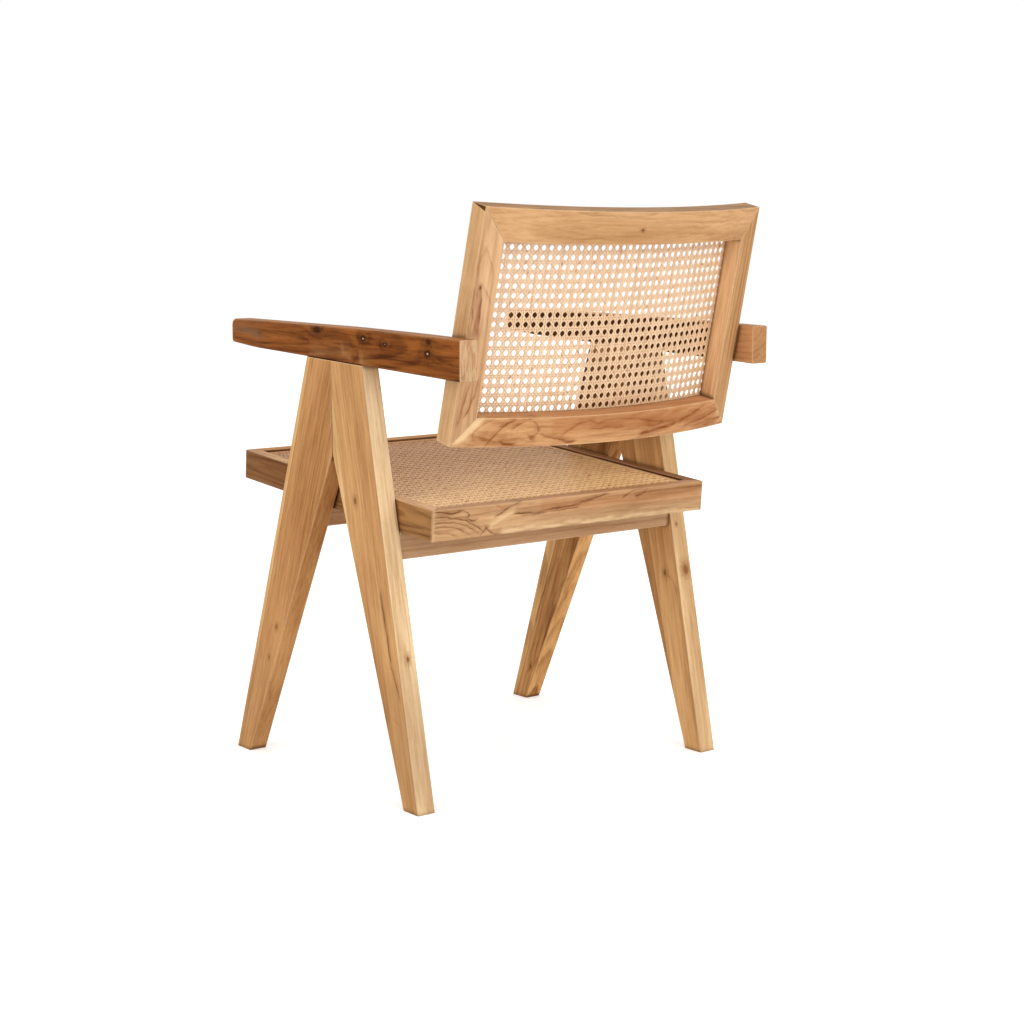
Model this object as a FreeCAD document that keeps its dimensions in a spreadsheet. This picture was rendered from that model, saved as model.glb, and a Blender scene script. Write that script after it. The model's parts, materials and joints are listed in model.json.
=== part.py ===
import FreeCAD, Part

import os

import Sketcher
from FreeCAD import Placement, Rotation, Vector

# Open armchair in solid teak with caned seat and caned curved back.
# Frame: +Z up from the floor, the chair faces -Y, +X is the sitter's left, millimetres and degrees.

DIMENSIONS = [
    # Inverted-V leg pairs, in the two upright planes left and right of the seat
    ("leg_inner", 238.5, "centre plane to a leg's inner face"),
    ("leg_thick", 27.5, "leg thickness across the chair"),
    ("leg_splay", 6.0, "how far a front foot stands outside its leg's top"),
    ("leg_top", 590.0, "height at which the front leg's splay starts"),
    ("front_foot", -283.0, "front edge of the front foot"),
    ("front_foot_depth", 36.0, "front foot, front to back"),
    ("rear_foot", 170.0, "rear edge of the rear foot"),
    ("rear_foot_depth", 34.8, "rear foot, front to back"),
    ("leg_joint", -23.8, "plane where front and rear leg are glued"),
    ("crotch", 456.0, "height where the two legs part"),
    ("leg_top_front", -85.5, "front edge of the leg pair under the arm"),
    ("leg_top_rear", 48.0, "rear edge of the leg pair under the arm"),
    ("leg_ease", 2.0, "rounding of a leg's long edges"),
    # Armrests
    ("arm_inner", 237.0, "centre plane to an arm's inner face"),
    ("arm_thick", 27.5, "arm width"),
    ("arm_front", -287.6, "front end of the arm"),
    ("arm_rear", 262.7, "rear end of the arm"),
    ("arm_under_rear", 572.5, "underside height at the rear end"),
    ("arm_under_slope", 0.0365, "rise of the underside per millimetre forwards"),
    ("arm_upturn", -221.0, "where the underside turns up"),
    ("arm_under_front", 595.4, "underside height at the front end"),
    ("arm_top_front", 628.8, "top height at the front end"),
    ("arm_crown", 4.0, "where the top starts to fall to the rear"),
    ("arm_crown_height", 628.6, "top height there"),
    ("arm_fall", 134.0, "where the top falls faster"),
    ("arm_fall_height", 626.9, "top height there"),
    ("arm_top_rear", 624.2, "top height at the rear end"),
    ("arm_nose_top", 10.0, "rounding of the front end's upper corner"),
    ("arm_nose_bottom", 5.0, "rounding of the front end's lower corner"),
    ("arm_ease", 2.5, "rounding of the arm's edges"),
    # Caned seat, tilted down to the rear
    ("seat_half_width", 238.0, "half of the seat frame's width"),
    ("seat_half_length", 235.8, "half of the seat frame's length along the tilt"),
    ("seat_middle", -66.7, "middle of the seat's top"),
    ("seat_height", 417.7, "height of that middle"),
    ("seat_tilt", 4.42, "tilt of the seat"),
    ("seat_rail_width", 44.0, "width of a seat rail"),
    ("seat_rail_height", 41.8, "height of a seat rail"),
    ("seat_lip", 18.0, "width of the rail's upper lip round the cane"),
    ("seat_rebate", 6.5, "depth of the rebate inside the lip"),
    ("seat_cane_thick", 2.0, "thickness of the seat cane"),
    ("seat_ease", 1.5, "rounding of the rails' outer edges"),
    ("seat_corner", 2.5, "bevel of the seat frame's four upright corners"),
    ("spline_width", 4.0, "width of the reed that holds the cane"),
    ("spline_depth", 5.0, "depth of the reed's groove below the cane"),
    ("spline_rise", 3.0, "rise of the seat reed over the rebate's floor"),
    # Stretchers under the seat
    ("stretcher_thick", 24.0, "stretcher, front to back"),
    ("front_stretcher_rear", -124.3, "rear face of the front stretcher"),
    ("front_stretcher_base", 341.5, "underside height of the front stretcher"),
    ("rear_stretcher_rear", 93.7, "rear face of the rear stretcher"),
    ("rear_stretcher_base", 326.0, "underside height of the rear stretcher"),
    ("stretcher_ease", 1.5, "rounding of a stretcher's long edges"),
    # Caned back, bent to an arc and reclined
    ("back_place", 204.2, "foot of the back's rear chord, along Y"),
    ("back_base", 485.2, "height of that foot"),
    ("back_recline", 13.15, "recline of the back"),
    ("back_length", 309.0, "back frame along the recline"),
    ("back_radius", 920.0, "radius of the back's rear face"),
    ("back_sag", 30.5, "rise of the rear arc over its chord"),
    ("back_thick", 27.0, "thickness of the back frame"),
    ("back_half_low", 238.3, "half width at the lower end"),
    ("back_half_high", 233.3, "half width at the upper end"),
    ("back_low_rail", 39.3, "width of the lower rail"),
    ("back_high_rail", 42.7, "width of the upper rail"),
    ("back_stile", 31.5, "width of a stile on the rear face"),
    ("back_wall_turn", 6.0, "how far a stile's inner wall leans in from rear to front"),
    ("back_cane_thick", 1.6, "thickness of the back cane"),
    ("back_rebate", 2.0, "depth of the cane's rebate in the front face"),
    ("back_border", 9.0, "cane lapped onto the frame round the opening"),
    ("back_groove", 6.0, "depth of the back reed's groove"),
    ("back_reach", 80.0, "depth that clears the bent frame"),
    # Hidden joinery
    ("tenon_thick", 8.0, "thickness of the loose tenons"),
    ("tenon_half", 18.0, "half length of a leg, arm or stretcher tenon"),
    ("leg_tenon_height", 60.0, "upright width of a leg tenon"),
    ("leg_tenon_middle", 525.0, "height of its middle"),
    ("arm_tenon_width", 30.0, "width of an arm tenon"),
    ("stretcher_tenon_height", 24.0, "upright width of a stretcher tenon"),
    ("stretcher_tenon_rise", 20.0, "its middle above the stretcher's underside"),
    ("back_tenon_length", 34.0, "length of the tenon from arm to stile"),
    ("back_tenon_height", 34.0, "width of that tenon along the recline"),
    ("back_tenon_rise", 117.0, "its middle along the recline"),
    ("seat_corner_tenon", 22.0, "length and width of a seat corner tenon"),
    ("seat_corner_depth", 26.0, "depth of its middle under the seat's top"),
    ("back_corner_tenon", 16.0, "length and width of a back corner tenon"),
    ("back_corner_thick", 7.0, "thickness of a back corner tenon"),
    ("back_corner_depth", 11.3, "depth of its middle under the rear chord"),
    ("screw_radius", 2.0, "seat screw's shank"),
    ("screw_head", 4.0, "seat screw's head radius"),
    ("screw_sink", 3.0, "seat screw's head height"),
    ("screw_length", 62.0, "seat screw, head included"),
    ("cut_clear", 20.0, "how far a cut runs out past the wood"),
]

# Gaps of the two nets that stand for the woven cane, across and along
SEAT_GAPS = (14, 14)
BACK_GAPS = (15, 9)
GAP_SHARE = 0.62
NET_BORDER = 9.0
SIDES = (("left", 1), ("right", -1))

# Edges longer than this are a piece's long edges
LONG_EDGE = 150.0

doc = FreeCAD.newDocument("cane_armchair")
sheet = doc.addObject("Spreadsheet::Sheet", "dims")
for row, (alias, size, meaning) in enumerate(DIMENSIONS, start=1):
    sheet.set(f"A{row}", meaning)
    sheet.set(f"B{row}", str(size))
    sheet.setAlias(f"B{row}", alias)
doc.recompute()

nodes = []


def cells(text):
    """Turn {name} in a formula into a reference to the sheet."""
    return text.replace("{", "dims.").replace("}", "")


def value(text):
    """The present number of a formula."""
    return float(sheet.evalExpression(cells(text)))


def bind(thing, path, text):
    """Tie one property of an object to a formula."""
    thing.setExpression(path, cells(text))


def name_node(thing, label):
    """Give a finished piece its name."""
    thing.Label = label
    nodes.append(thing)
    return thing


def tip_back(thing, along, height, angle):
    """Place a piece and tip it towards the rear by an angle."""
    thing.Placement = Placement(Vector(), Rotation(Vector(-1, 0, 0), value(angle)))
    bind(thing, "Placement.Base.y", along)
    bind(thing, "Placement.Base.z", height)
    bind(thing, "Placement.Rotation.Angle", angle)


# Formulas that several pieces share

def under_arm(along):
    """Height of the arm's straight underside at a place along Y."""
    return f"({{arm_under_rear}} + ({{arm_rear}} - ({along})) * {{arm_under_slope}})"


def seat_under(along):
    """Height of the seat frame's underside at a place along Y."""
    return (f"({{seat_height}} - {{seat_rail_height}} / cos({{seat_tilt}})"
            f" - (({along}) - {{seat_middle}}) * tan({{seat_tilt}}))")


LEG_MIDDLE = "({leg_inner} + {leg_thick} / 2)"
SEAT_SCREW_X = "({seat_half_width} - {seat_rail_width} / 2)"
STRETCHERS = {
    "front": ("{front_stretcher_rear}", "{front_stretcher_base}"),
    "rear": ("{rear_stretcher_rear}", "{rear_stretcher_base}"),
}


def stretcher_middle(which):
    return f"({STRETCHERS[which][0]} - {{stretcher_thick}} / 2)"


def stretcher_end(which):
    """Half length of a stretcher, from leg to leg at its upper edge."""
    if which == "rear":
        return "{leg_inner}"
    upper = seat_under(stretcher_middle(which))
    return f"({{leg_inner}} + {{leg_splay}} * ({{leg_top}} - {upper}) / {{leg_top}})"


# Sketch helpers

def new_sketch(body, name, role, lift=None):
    """A sketch on one of the body's own origin planes, lifted along the plane's normal."""
    sketch = body.newObject("Sketcher::SketchObject", name)
    plane = [part for part in body.Origin.OriginFeatures if part.Role == role][0]
    sketch.AttachmentSupport = [(plane, "")]
    sketch.MapMode = "FlatFace"
    if lift is not None:
        bind(sketch, "AttachmentOffset.Base.z", lift)
    return sketch


def pin(sketch, edge, across, up):
    """Hold the start of an edge at a formula's place."""
    for kind, text in (("DistanceX", across), ("DistanceY", up)):
        index = sketch.addConstraint(Sketcher.Constraint(kind, -1, 1, edge, 1, value(text)))
        bind(sketch, f"Constraints[{index}]", text)


def outline(sketch, corners):
    """A closed outline of straight sides, each corner held at its formulas."""
    first = sketch.GeometryCount
    count = len(corners)
    points = [Vector(value(across), value(up), 0) for across, up in corners]
    for side in range(count):
        sketch.addGeometry(Part.LineSegment(points[side], points[(side + 1) % count]), False)
    for side, (across, up) in enumerate(corners):
        edge = first + side
        sketch.addConstraint(Sketcher.Constraint("Coincident", edge, 1, first + (side - 1) % count, 2))
        pin(sketch, edge, across, up)


# Feature helpers

def new_body(name):
    return doc.addObject("PartDesign::Body", name)


def pad(body, sketch, length, backwards=False):
    feature = body.newObject("PartDesign::Pad", f"{body.Name}_pad")
    feature.Profile = sketch
    bind(feature, "Length", length)
    feature.Reversed = backwards
    return feature


def pocket(body, sketch, length=None):
    """Cut a sketch into the body: to a depth, or right through both ways."""
    feature = body.newObject("PartDesign::Pocket", f"{body.Name}_pocket")
    feature.Profile = sketch
    if length is None:
        feature.Type = "ThroughAll"
        feature.Midplane = True
    else:
        bind(feature, "Length", length)
    return feature


def bore(body, place, axis, radius, length):
    """Drill a round hole from a place along an axis of the body."""
    hole = body.newObject("PartDesign::SubtractiveCylinder", f"{body.Name}_bore")
    set_rod(hole, place, axis, radius, length)
    return hole


def set_rod(rod, place, axis, radius, length):
    """Size and place a cylinder by formulas."""
    bind(rod, "Radius", radius)
    bind(rod, "Height", length)
    rod.Placement = Placement(Vector(), Rotation(Vector(0, 0, 1), axis))
    for letter, text in zip("xyz", place):
        bind(rod, f"Placement.Base.{letter}", text)


def rod_solid(name, place, axis, radius, length):
    rod = doc.addObject("Part::Cylinder", name)
    set_rod(rod, place, axis, radius, length)
    return rod


def set_block(block, sizes, middle, turn=Rotation()):
    """Size a block by formulas and place it by its middle and turn."""
    for side, text in zip(("Length", "Width", "Height"), sizes):
        bind(block, side, text)
    half = Vector(*(value(text) / 2 for text in sizes))
    centre = Vector(*(value(text) for text in middle))
    block.Placement = Placement(centre - turn.multVec(half), turn)


def mortise(body, tenon):
    """Cut the place of a tenon into a piece."""
    set_block(body.newObject("PartDesign::SubtractiveBox", f"{body.Name}_mortise"), *tenon)


def tenon_solid(name, tenon):
    block = doc.addObject("Part::Box", name)
    set_block(block, *tenon)
    return block


def round_edges(body, radius, wanted):
    """Round those edges of the body that pass a test."""
    doc.recompute()
    base = body.Tip
    names = [f"Edge{index}" for index, edge in enumerate(base.Shape.Edges, start=1) if wanted(edge)]
    feature = body.newObject("PartDesign::Fillet", f"{body.Name}_round")
    feature.Base = (base, names)
    bind(feature, "Radius", radius)
    return feature


def span(edge, letter):
    """How far an edge reaches along one axis."""
    return getattr(edge.BoundBox, f"{letter}Length")


def group(name, solids):
    """Several loose pieces of one kind, kept in one node."""
    bundle = doc.addObject("Part::Compound", name)
    bundle.Links = solids
    return name_node(bundle, name)


# Legs: flat tapered boards, glued in pairs under each arm

def leg(side, sign, which):
    name = f"{side}_{which}_leg"
    body = new_body(name)
    joint_top = ("{leg_joint}", under_arm("{leg_joint}"))
    crotch = ("{leg_joint}", "{crotch}")
    if which == "front":
        corners = [("{front_foot}", "0"), ("{front_foot} + {front_foot_depth}", "0"), crotch, joint_top,
                   ("{leg_top_front}", under_arm("{leg_top_front}"))]
    else:
        corners = [("{rear_foot} - {rear_foot_depth}", "0"), ("{rear_foot}", "0"),
                   ("{leg_top_rear}", under_arm("{leg_top_rear}")), joint_top, crotch]
    start = "{leg_inner}" if sign > 0 else "-{leg_inner}"
    sketch = new_sketch(body, f"{name}_profile", "YZ_Plane", start)
    outline(sketch, corners)
    width = "{leg_thick} + {leg_splay}" if which == "front" else "{leg_thick}"
    pad(body, sketch, width, backwards=sign < 0)
    if which == "front":
        splay_faces(body, name, sign)
    round_edges(body, "{leg_ease}", lambda edge: span(edge, "Z") > LONG_EDGE)
    for tenon in (leg_tenon(sign), arm_tenon(sign, which), stretcher_tenon(sign, which)):
        mortise(body, tenon)
    name_node(body, name)


def splay_faces(body, name, sign):
    """Lean a front leg's two broad faces outwards from its top to its foot."""
    outer = "({leg_inner} + {leg_thick})"
    clear = "({leg_inner} + {leg_thick} + {leg_splay} + {cut_clear})"
    within = f"{sign} * ({{leg_inner}} - {{cut_clear}})"
    over = "{leg_top} + {cut_clear}"
    sketch = new_sketch(body, f"{name}_splay", "XZ_Plane")
    outline(sketch, [(within, "{leg_top}"), (f"{sign} * {{leg_inner}}", "{leg_top}"),
                     (f"{sign} * ({{leg_inner}} + {{leg_splay}})", "0"), (within, "0")])
    outline(sketch, [(f"{sign} * {outer}", "{leg_top}"), (f"{sign} * {outer}", over),
                     (f"{sign} * {clear}", over), (f"{sign} * {clear}", "0"),
                     (f"{sign} * ({outer} + {{leg_splay}})", "0")])
    pocket(body, sketch)


def leg_tenon(sign):
    """Between the two legs of one side."""
    sizes = ("{tenon_thick}", "{tenon_half} * 2", "{leg_tenon_height}")
    return sizes, (f"{sign} * {LEG_MIDDLE}", "{leg_joint}", "{leg_tenon_middle}")


def arm_tenon(sign, which):
    """From the middle of a leg's top up into the arm."""
    edge = "{leg_top_front}" if which == "front" else "{leg_top_rear}"
    along = f"(({edge} + {{leg_joint}}) / 2)"
    sizes = ("{tenon_thick}", "{arm_tenon_width}", "{tenon_half} * 2")
    return sizes, (f"{sign} * {LEG_MIDDLE}", along, under_arm(along))


def stretcher_tenon(sign, which):
    """From a stretcher's end into the leg."""
    sizes = ("{tenon_half} * 2", "{tenon_thick}", "{stretcher_tenon_height}")
    height = f"{STRETCHERS[which][1]} + {{stretcher_tenon_rise}}"
    return sizes, (f"{sign} * {stretcher_end(which)}", stretcher_middle(which), height)


# Armrests: tapered bars with a long crown and a softened nose

def arm(side, sign):
    name = f"{side}_armrest"
    body = new_body(name)
    start = "{arm_inner}" if sign > 0 else "-{arm_inner}"
    sketch = new_sketch(body, f"{name}_profile", "YZ_Plane", start)
    top_nose = ("{arm_front}", "{arm_top_front}")
    low_nose = ("{arm_front}", "{arm_under_front}")
    outline(sketch, [("{arm_rear}", "{arm_under_rear}"), ("{arm_rear}", "{arm_top_rear}"),
                     ("{arm_fall}", "{arm_fall_height}"), ("{arm_crown}", "{arm_crown_height}"),
                     top_nose, low_nose, ("{arm_upturn}", under_arm("{arm_upturn}"))])
    pad(body, sketch, "{arm_thick}", backwards=sign < 0)
    for corner, radius in ((top_nose, "{arm_nose_top}"), (low_nose, "{arm_nose_bottom}")):
        along, height = (value(text) for text in corner)
        round_edges(body, radius, lambda edge: crosses(edge, along, height))
    rear = value("{arm_rear}")
    low = value("{arm_under_front}")

    def eased(edge):
        middle = edge.CenterOfMass
        return span(edge, "X") < 0.01 and middle.z > low and middle.y < rear - 0.01

    round_edges(body, "{arm_ease}", eased)
    for which in STRETCHERS:
        mortise(body, arm_tenon(sign, which))
    sizes, (across, depth, rise) = back_arm_tenon(sign)
    lean = Rotation(Vector(-1, 0, 0), value("{back_recline}"))
    mortise(body, (sizes, (across, *back_point(depth, rise)), lean))
    name_node(body, name)


def crosses(edge, along, height):
    """True for the edge that crosses the arm at a corner of its profile."""
    middle = edge.CenterOfMass
    straight = span(edge, "Y") + span(edge, "Z") < 0.01
    return straight and abs(middle.y - along) + abs(middle.z - height) < 0.01


# Stretchers: boards between the legs that carry the seat, their tops bevelled to its tilt

def stretcher(which):
    name = f"{which}_stretcher"
    rear, base = STRETCHERS[which]
    front = f"({rear} - {{stretcher_thick}})"
    half = stretcher_end(which)
    body = new_body(name)
    sketch = new_sketch(body, f"{name}_profile", "YZ_Plane", f"0 - {half}")
    outline(sketch, [(front, base), (rear, base), (rear, seat_under(rear)), (front, seat_under(front))])
    pad(body, sketch, f"2 * {half}")
    low = value(base) + 1
    round_edges(body, "{stretcher_ease}",
                lambda edge: span(edge, "X") > LONG_EDGE and edge.CenterOfMass.z < low)
    for side, sign in SIDES:
        mortise(body, stretcher_tenon(sign, which))
        place = screw_place(sign, which)
        bore(body, place, Vector(0, 0, 1), "{screw_radius}", "{screw_length}")
        sink = body.newObject("PartDesign::SubtractiveCone", f"{name}_{side}_sink")
        set_head(sink, place)
    name_node(body, name)


def screw_place(sign, which):
    """The underside of a seat screw's head."""
    return (f"{sign} * {SEAT_SCREW_X}", stretcher_middle(which), STRETCHERS[which][1])


def set_head(cone, place):
    """Size and place a countersunk head by formulas."""
    bind(cone, "Radius1", "{screw_head}")
    bind(cone, "Radius2", "{screw_radius}")
    bind(cone, "Height", "{screw_sink}")
    for letter, text in zip("xyz", place):
        bind(cone, f"Placement.Base.{letter}", text)


# Seat frame: four mitred rails with a raised lip round the cane

def seat_place(thing):
    """Stand a seat piece at the seat's tilt."""
    tip_back(thing, "{seat_middle}", "{seat_height}", "{seat_tilt}")


def frame_corners(inset):
    """Corners of a rectangle inside the seat frame's outer edge."""
    wide = f"({{seat_half_width}} - {inset})"
    long = f"({{seat_half_length}} - {inset})"
    return [(f"0 - {wide}", f"0 - {long}"), (wide, f"0 - {long}"), (wide, long), (f"0 - {wide}", long)]


SEAT_RAILS = ("seat_front_rail", "seat_left_rail", "seat_rear_rail", "seat_right_rail")


def seat_rail(index):
    """One mitred rail, between two corners of the outer and the inner rectangle."""
    name = SEAT_RAILS[index]
    following = (index + 1) % len(SEAT_RAILS)
    outer = frame_corners("0")
    inner = frame_corners("{seat_rail_width}")
    body = new_body(name)
    sketch = new_sketch(body, f"{name}_plan", "XY_Plane")
    outline(sketch, bevelled(outer[index], outer[following], index) + [inner[following], inner[index]])
    pad(body, sketch, "{seat_rail_height}", backwards=True)
    rebate = new_sketch(body, f"{name}_rebate", "XY_Plane")
    outline(rebate, frame_corners("{seat_lip}"))
    pocket(body, rebate, "{seat_rebate}")
    groove = new_sketch(body, f"{name}_groove", "XY_Plane")
    outline(groove, frame_corners("{seat_lip}"))
    outline(groove, frame_corners("({seat_lip} + {spline_width})"))
    pocket(body, groove, "{seat_rebate} + {spline_depth}")
    long_axis = "X" if index in (0, 2) else "Y"
    reach = value("{seat_half_length}") - 1 if long_axis == "X" else value("{seat_half_width}") - 1
    cross = "y" if long_axis == "X" else "x"
    round_edges(body, "{seat_ease}", lambda edge: span(edge, long_axis) > LONG_EDGE
                and abs(getattr(edge.CenterOfMass, cross)) > reach)
    for corner in (index, following):
        mortise(body, seat_corner_tenon(corner))
    if long_axis == "Y":
        sign = 1 if index == 1 else -1
        for which in STRETCHERS:
            tilted_screw_bore(body, sign, which)
    seat_place(body)
    name_node(body, name)


def bevelled(start, finish, index):
    """The outer side of a rail, its two ends bevelled as far as the mitres."""
    inward = {0: (1, 1), 1: (-1, 1), 2: (-1, -1), 3: (1, -1)}
    ends = []
    for (across, along), corner in ((start, index), (finish, (index + 1) % len(SEAT_RAILS))):
        turn_x, turn_y = inward[corner]
        half = "{seat_corner} / 2"
        on_mitre = (f"{across} + {turn_x} * {half}", f"{along} + {turn_y} * {half}")
        if index in (0, 2):
            on_side = (f"{across} + {turn_x} * {{seat_corner}}", along)
        else:
            on_side = (across, f"{along} + {turn_y} * {{seat_corner}}")
        ends.append((on_mitre, on_side))
    return [ends[0][0], ends[0][1], ends[1][1], ends[1][0]]


def seat_corner_tenon(corner):
    """Flat across one mitred corner of the seat."""
    across = 1 if corner in (1, 2) else -1
    along = 1 if corner in (2, 3) else -1
    sizes = ("{seat_corner_tenon}", "{seat_corner_tenon}", "{tenon_thick}")
    middle = (f"{across} * ({{seat_half_width}} - {{seat_rail_width}} / 2)",
              f"{along} * ({{seat_half_length}} - {{seat_rail_width}} / 2)", "0 - {seat_corner_depth}")
    return sizes, middle, Rotation(Vector(1, 0, 0), Vector(across, along, 0))


def tilted_screw_bore(body, sign, which):
    """The upright seat screw's hole, seen in the tilted seat."""
    across, along, height = screw_place(sign, which)
    back = f"({along} - {{seat_middle}})"
    up = f"({height} - {{seat_height}})"
    place = (across, f"{back} * cos({{seat_tilt}}) - {up} * sin({{seat_tilt}})",
             f"{back} * sin({{seat_tilt}}) + {up} * cos({{seat_tilt}})")
    axis = Rotation(Vector(1, 0, 0), value("{seat_tilt}")).multVec(Vector(0, 0, 1))
    bore(body, place, axis, "{screw_radius}", "{screw_length}")


def seat_spline():
    """Closed reed that wedges the cane's edge into the groove."""
    body = new_body("seat_spline")
    sketch = new_sketch(body, "seat_spline_plan", "XY_Plane", "0 - {seat_rebate} - {spline_depth}")
    outline(sketch, frame_corners("{seat_lip}"))
    outline(sketch, frame_corners("({seat_lip} + {spline_width})"))
    pad(body, sketch, "{spline_depth} + {spline_rise}")
    seat_place(body)
    name_node(body, "seat_spline")


def holed_face(low, high, gaps):
    """A flat net in the XY plane: one face with a grid of square gaps."""
    inner_low = low + Vector(NET_BORDER, NET_BORDER, 0)
    inner_high = high - Vector(NET_BORDER, NET_BORDER, 0)
    step_x = (inner_high.x - inner_low.x) / gaps[0]
    step_y = (inner_high.y - inner_low.y) / gaps[1]
    half_x = step_x * GAP_SHARE / 2
    half_y = step_y * GAP_SHARE / 2
    rings = [ring(low, high)]
    for column in range(gaps[0]):
        for line in range(gaps[1]):
            middle = inner_low + Vector(step_x * (column + 0.5), step_y * (line + 0.5), 0)
            half = Vector(half_x, half_y, 0)
            rings.append(ring(middle - half, middle + half))
    return Part.Face(rings, "Part::FaceMakerBullseye")


def ring(low, high):
    corners = [low, Vector(high.x, low.y, 0), high, Vector(low.x, high.y, 0)]
    return Part.makePolygon(corners + [low])


def seat_cane():
    """Woven seat panel as a flat net lying on the rebate's floor."""
    inset = value("{seat_lip} + {spline_width}")
    high = Vector(value("{seat_half_width}") - inset, value("{seat_half_length}") - inset, 0)
    net = holed_face(high * -1, high, SEAT_GAPS)
    net.translate(Vector(0, 0, -value("{seat_rebate}")))
    panel = doc.addObject("Part::Feature", "seat_cane")
    panel.Shape = net.extrude(Vector(0, 0, value("{seat_cane_thick}")))
    seat_place(panel)
    name_node(panel, "seat_cane")


# Back: bent rails and straight stiles, mitred, with the cane in the front face

BACK_CENTRE = "({back_sag} - {back_radius})"
BACK_FRONT_RADIUS = "({back_radius} - {back_thick})"


def back_point(depth, rise):
    """Place along Y and height of a point given in the back's own depth and rise."""
    along = f"({{back_place}} + {depth} * cos({{back_recline}}) + {rise} * sin({{back_recline}}))"
    height = f"({{back_base}} - {depth} * sin({{back_recline}}) + {rise} * cos({{back_recline}}))"
    return along, height


def back_place(thing):
    """Stand a back piece at the back's recline."""
    tip_back(thing, "{back_place}", "{back_base}", "{back_recline}")


def back_half(rise):
    """Half width of the back frame at a rise along the recline."""
    return f"({{back_half_low}} - ({{back_half_low}} - {{back_half_high}}) * ({rise}) / {{back_length}})"


def bent_band(name, inside, outside):
    """A bent board of the back's curve, between two radii."""
    shells = []
    for end, radius in (("outside", outside), ("inside", inside)):
        shell = doc.addObject("Part::Cylinder", f"{name}_{end}")
        bind(shell, "Radius", radius)
        bind(shell, "Height", "{back_length}")
        bind(shell, "Placement.Base.y", BACK_CENTRE)
        shells.append(shell)
    return boolean("Part::Cut", name, shells[0], shells[1])


def boolean(kind, name, base, tool):
    result = doc.addObject(kind, name)
    result.Base = base
    result.Tool = tool
    return result


def front_prism(name, *outlines):
    """Outlines drawn on the back's front view, carried through its whole depth."""
    sketch = doc.addObject("Sketcher::SketchObject", f"{name}_outline")
    sketch.Placement = Placement(Vector(), Rotation(Vector(1, 0, 0), 90))
    for corners in outlines:
        outline(sketch, corners)
    prism = doc.addObject("Part::Extrusion", name)
    prism.Base = sketch
    prism.DirMode = "Custom"
    prism.Dir = Vector(0, 1, 0)
    prism.Symmetric = True
    prism.Solid = True
    bind(prism, "LengthFwd", "2 * {back_reach}")
    return prism


LOW_EDGE = "{back_low_rail}"
HIGH_EDGE = "({back_length} - {back_high_rail})"
RAIL_EDGES = {"lower": ("0", LOW_EDGE), "upper": ("{back_length}", HIGH_EDGE)}


def opening_half(rise):
    return f"({back_half(rise)} - {{back_stile}})"


def rail_corners(which):
    """Mitred outline of a rail, seen from the front."""
    rise, inner = RAIL_EDGES[which]
    return [(f"0 - {back_half(rise)}", rise), (back_half(rise), rise),
            (opening_half(inner), inner), (f"0 - {opening_half(inner)}", inner)]


def opening_ring(grow):
    """The back's opening, grown on the frame's front face by a border."""
    low = f"({LOW_EDGE} - {grow})"
    high = f"({HIGH_EDGE} + {grow})"
    low_half = f"({opening_half(low)} - {{back_wall_turn}} + {grow})"
    high_half = f"({opening_half(high)} - {{back_wall_turn}} + {grow})"
    return [(f"0 - {low_half}", low), (low_half, low), (high_half, high), (f"0 - {high_half}", high)]


def stile_blank(side, sign):
    """A stile's straight blank: flat outer side, inner wall square to the bent face."""
    sections = []
    for end, rise in (("low", "0"), ("high", "{back_length}")):
        sketch = doc.addObject("Sketcher::SketchObject", f"{side}_stile_{end}")
        bind(sketch, "Placement.Base.z", rise)
        inner = opening_half(rise)
        rear = f"(sqrt({{back_radius}} ^ 2 - {inner} ^ 2) + {BACK_CENTRE})"
        deep = "({back_thick} + {cut_clear})"
        slope = f"({{back_wall_turn}} / {{back_thick}} * {deep})"
        flare = "({back_wall_turn} / {back_thick} * {cut_clear})"
        outline(sketch, [(f"{sign} * {back_half(rise)}", f"{rear} + {{cut_clear}}"),
                         (f"{sign} * ({inner} + {flare})", f"{rear} + {{cut_clear}}"),
                         (f"{sign} * ({inner} - {slope})", f"{rear} - {deep}"),
                         (f"{sign} * {back_half(rise)}", f"{rear} - {deep}")])
        sections.append(sketch)
    blank = doc.addObject("Part::Loft", f"{side}_stile_blank")
    blank.Sections = sections
    blank.Solid = True
    blank.Ruled = True
    return blank


def mitre_waste(side, sign):
    """What the mitres take off a stile's two ends."""
    pieces = []
    for which, far in (("lower", "(0 - {back_reach})"), ("upper", "({back_length} + {back_reach})")):
        rise, inner = RAIL_EDGES[which]
        slope = f"(({inner} - {rise}) / ({back_half(rise)} - {opening_half(inner)}))"
        beyond = f"{sign} * ({back_half(rise)} + {{cut_clear}})"
        within = f"{sign} * ({opening_half(inner)} - {{back_stile}})"
        corners = [(beyond, f"{rise} - {slope} * {{cut_clear}}"), (f"{sign} * {opening_half(inner)}", inner),
                   (within, inner), (within, far), (beyond, far)]
        pieces.append(front_prism(f"{side}_mitre_{which}", corners))
    waste = doc.addObject("Part::MultiFuse", f"{side}_mitre_waste")
    waste.Shapes = pieces
    return waste


def back_corner_tenon(sign, which):
    """Square across one mitre of the back, in the back's own frame."""
    rise, inner = RAIL_EDGES[which]
    drop = value(inner) - value(rise)
    run = value(back_half(rise)) - value(opening_half(inner))
    sizes = ("{back_corner_tenon}", "{back_corner_thick}", "{back_corner_tenon}")
    middle = (f"{sign} * ({back_half(rise)} + {opening_half(inner)}) / 2", "0 - {back_corner_depth}",
              f"(({rise}) + {inner}) / 2")
    return sizes, middle, Rotation(Vector(1, 0, 0), Vector(sign * drop, 0, run))


def back_arm_tenon(sign):
    """From an arm into the stile beside it, in the back's own frame."""
    sizes = ("{back_tenon_length}", "{tenon_thick}", "{back_tenon_height}")
    return sizes, (f"{sign} * {{arm_inner}}", "(0 - {back_thick} / 2)", "{back_tenon_rise}")


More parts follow.
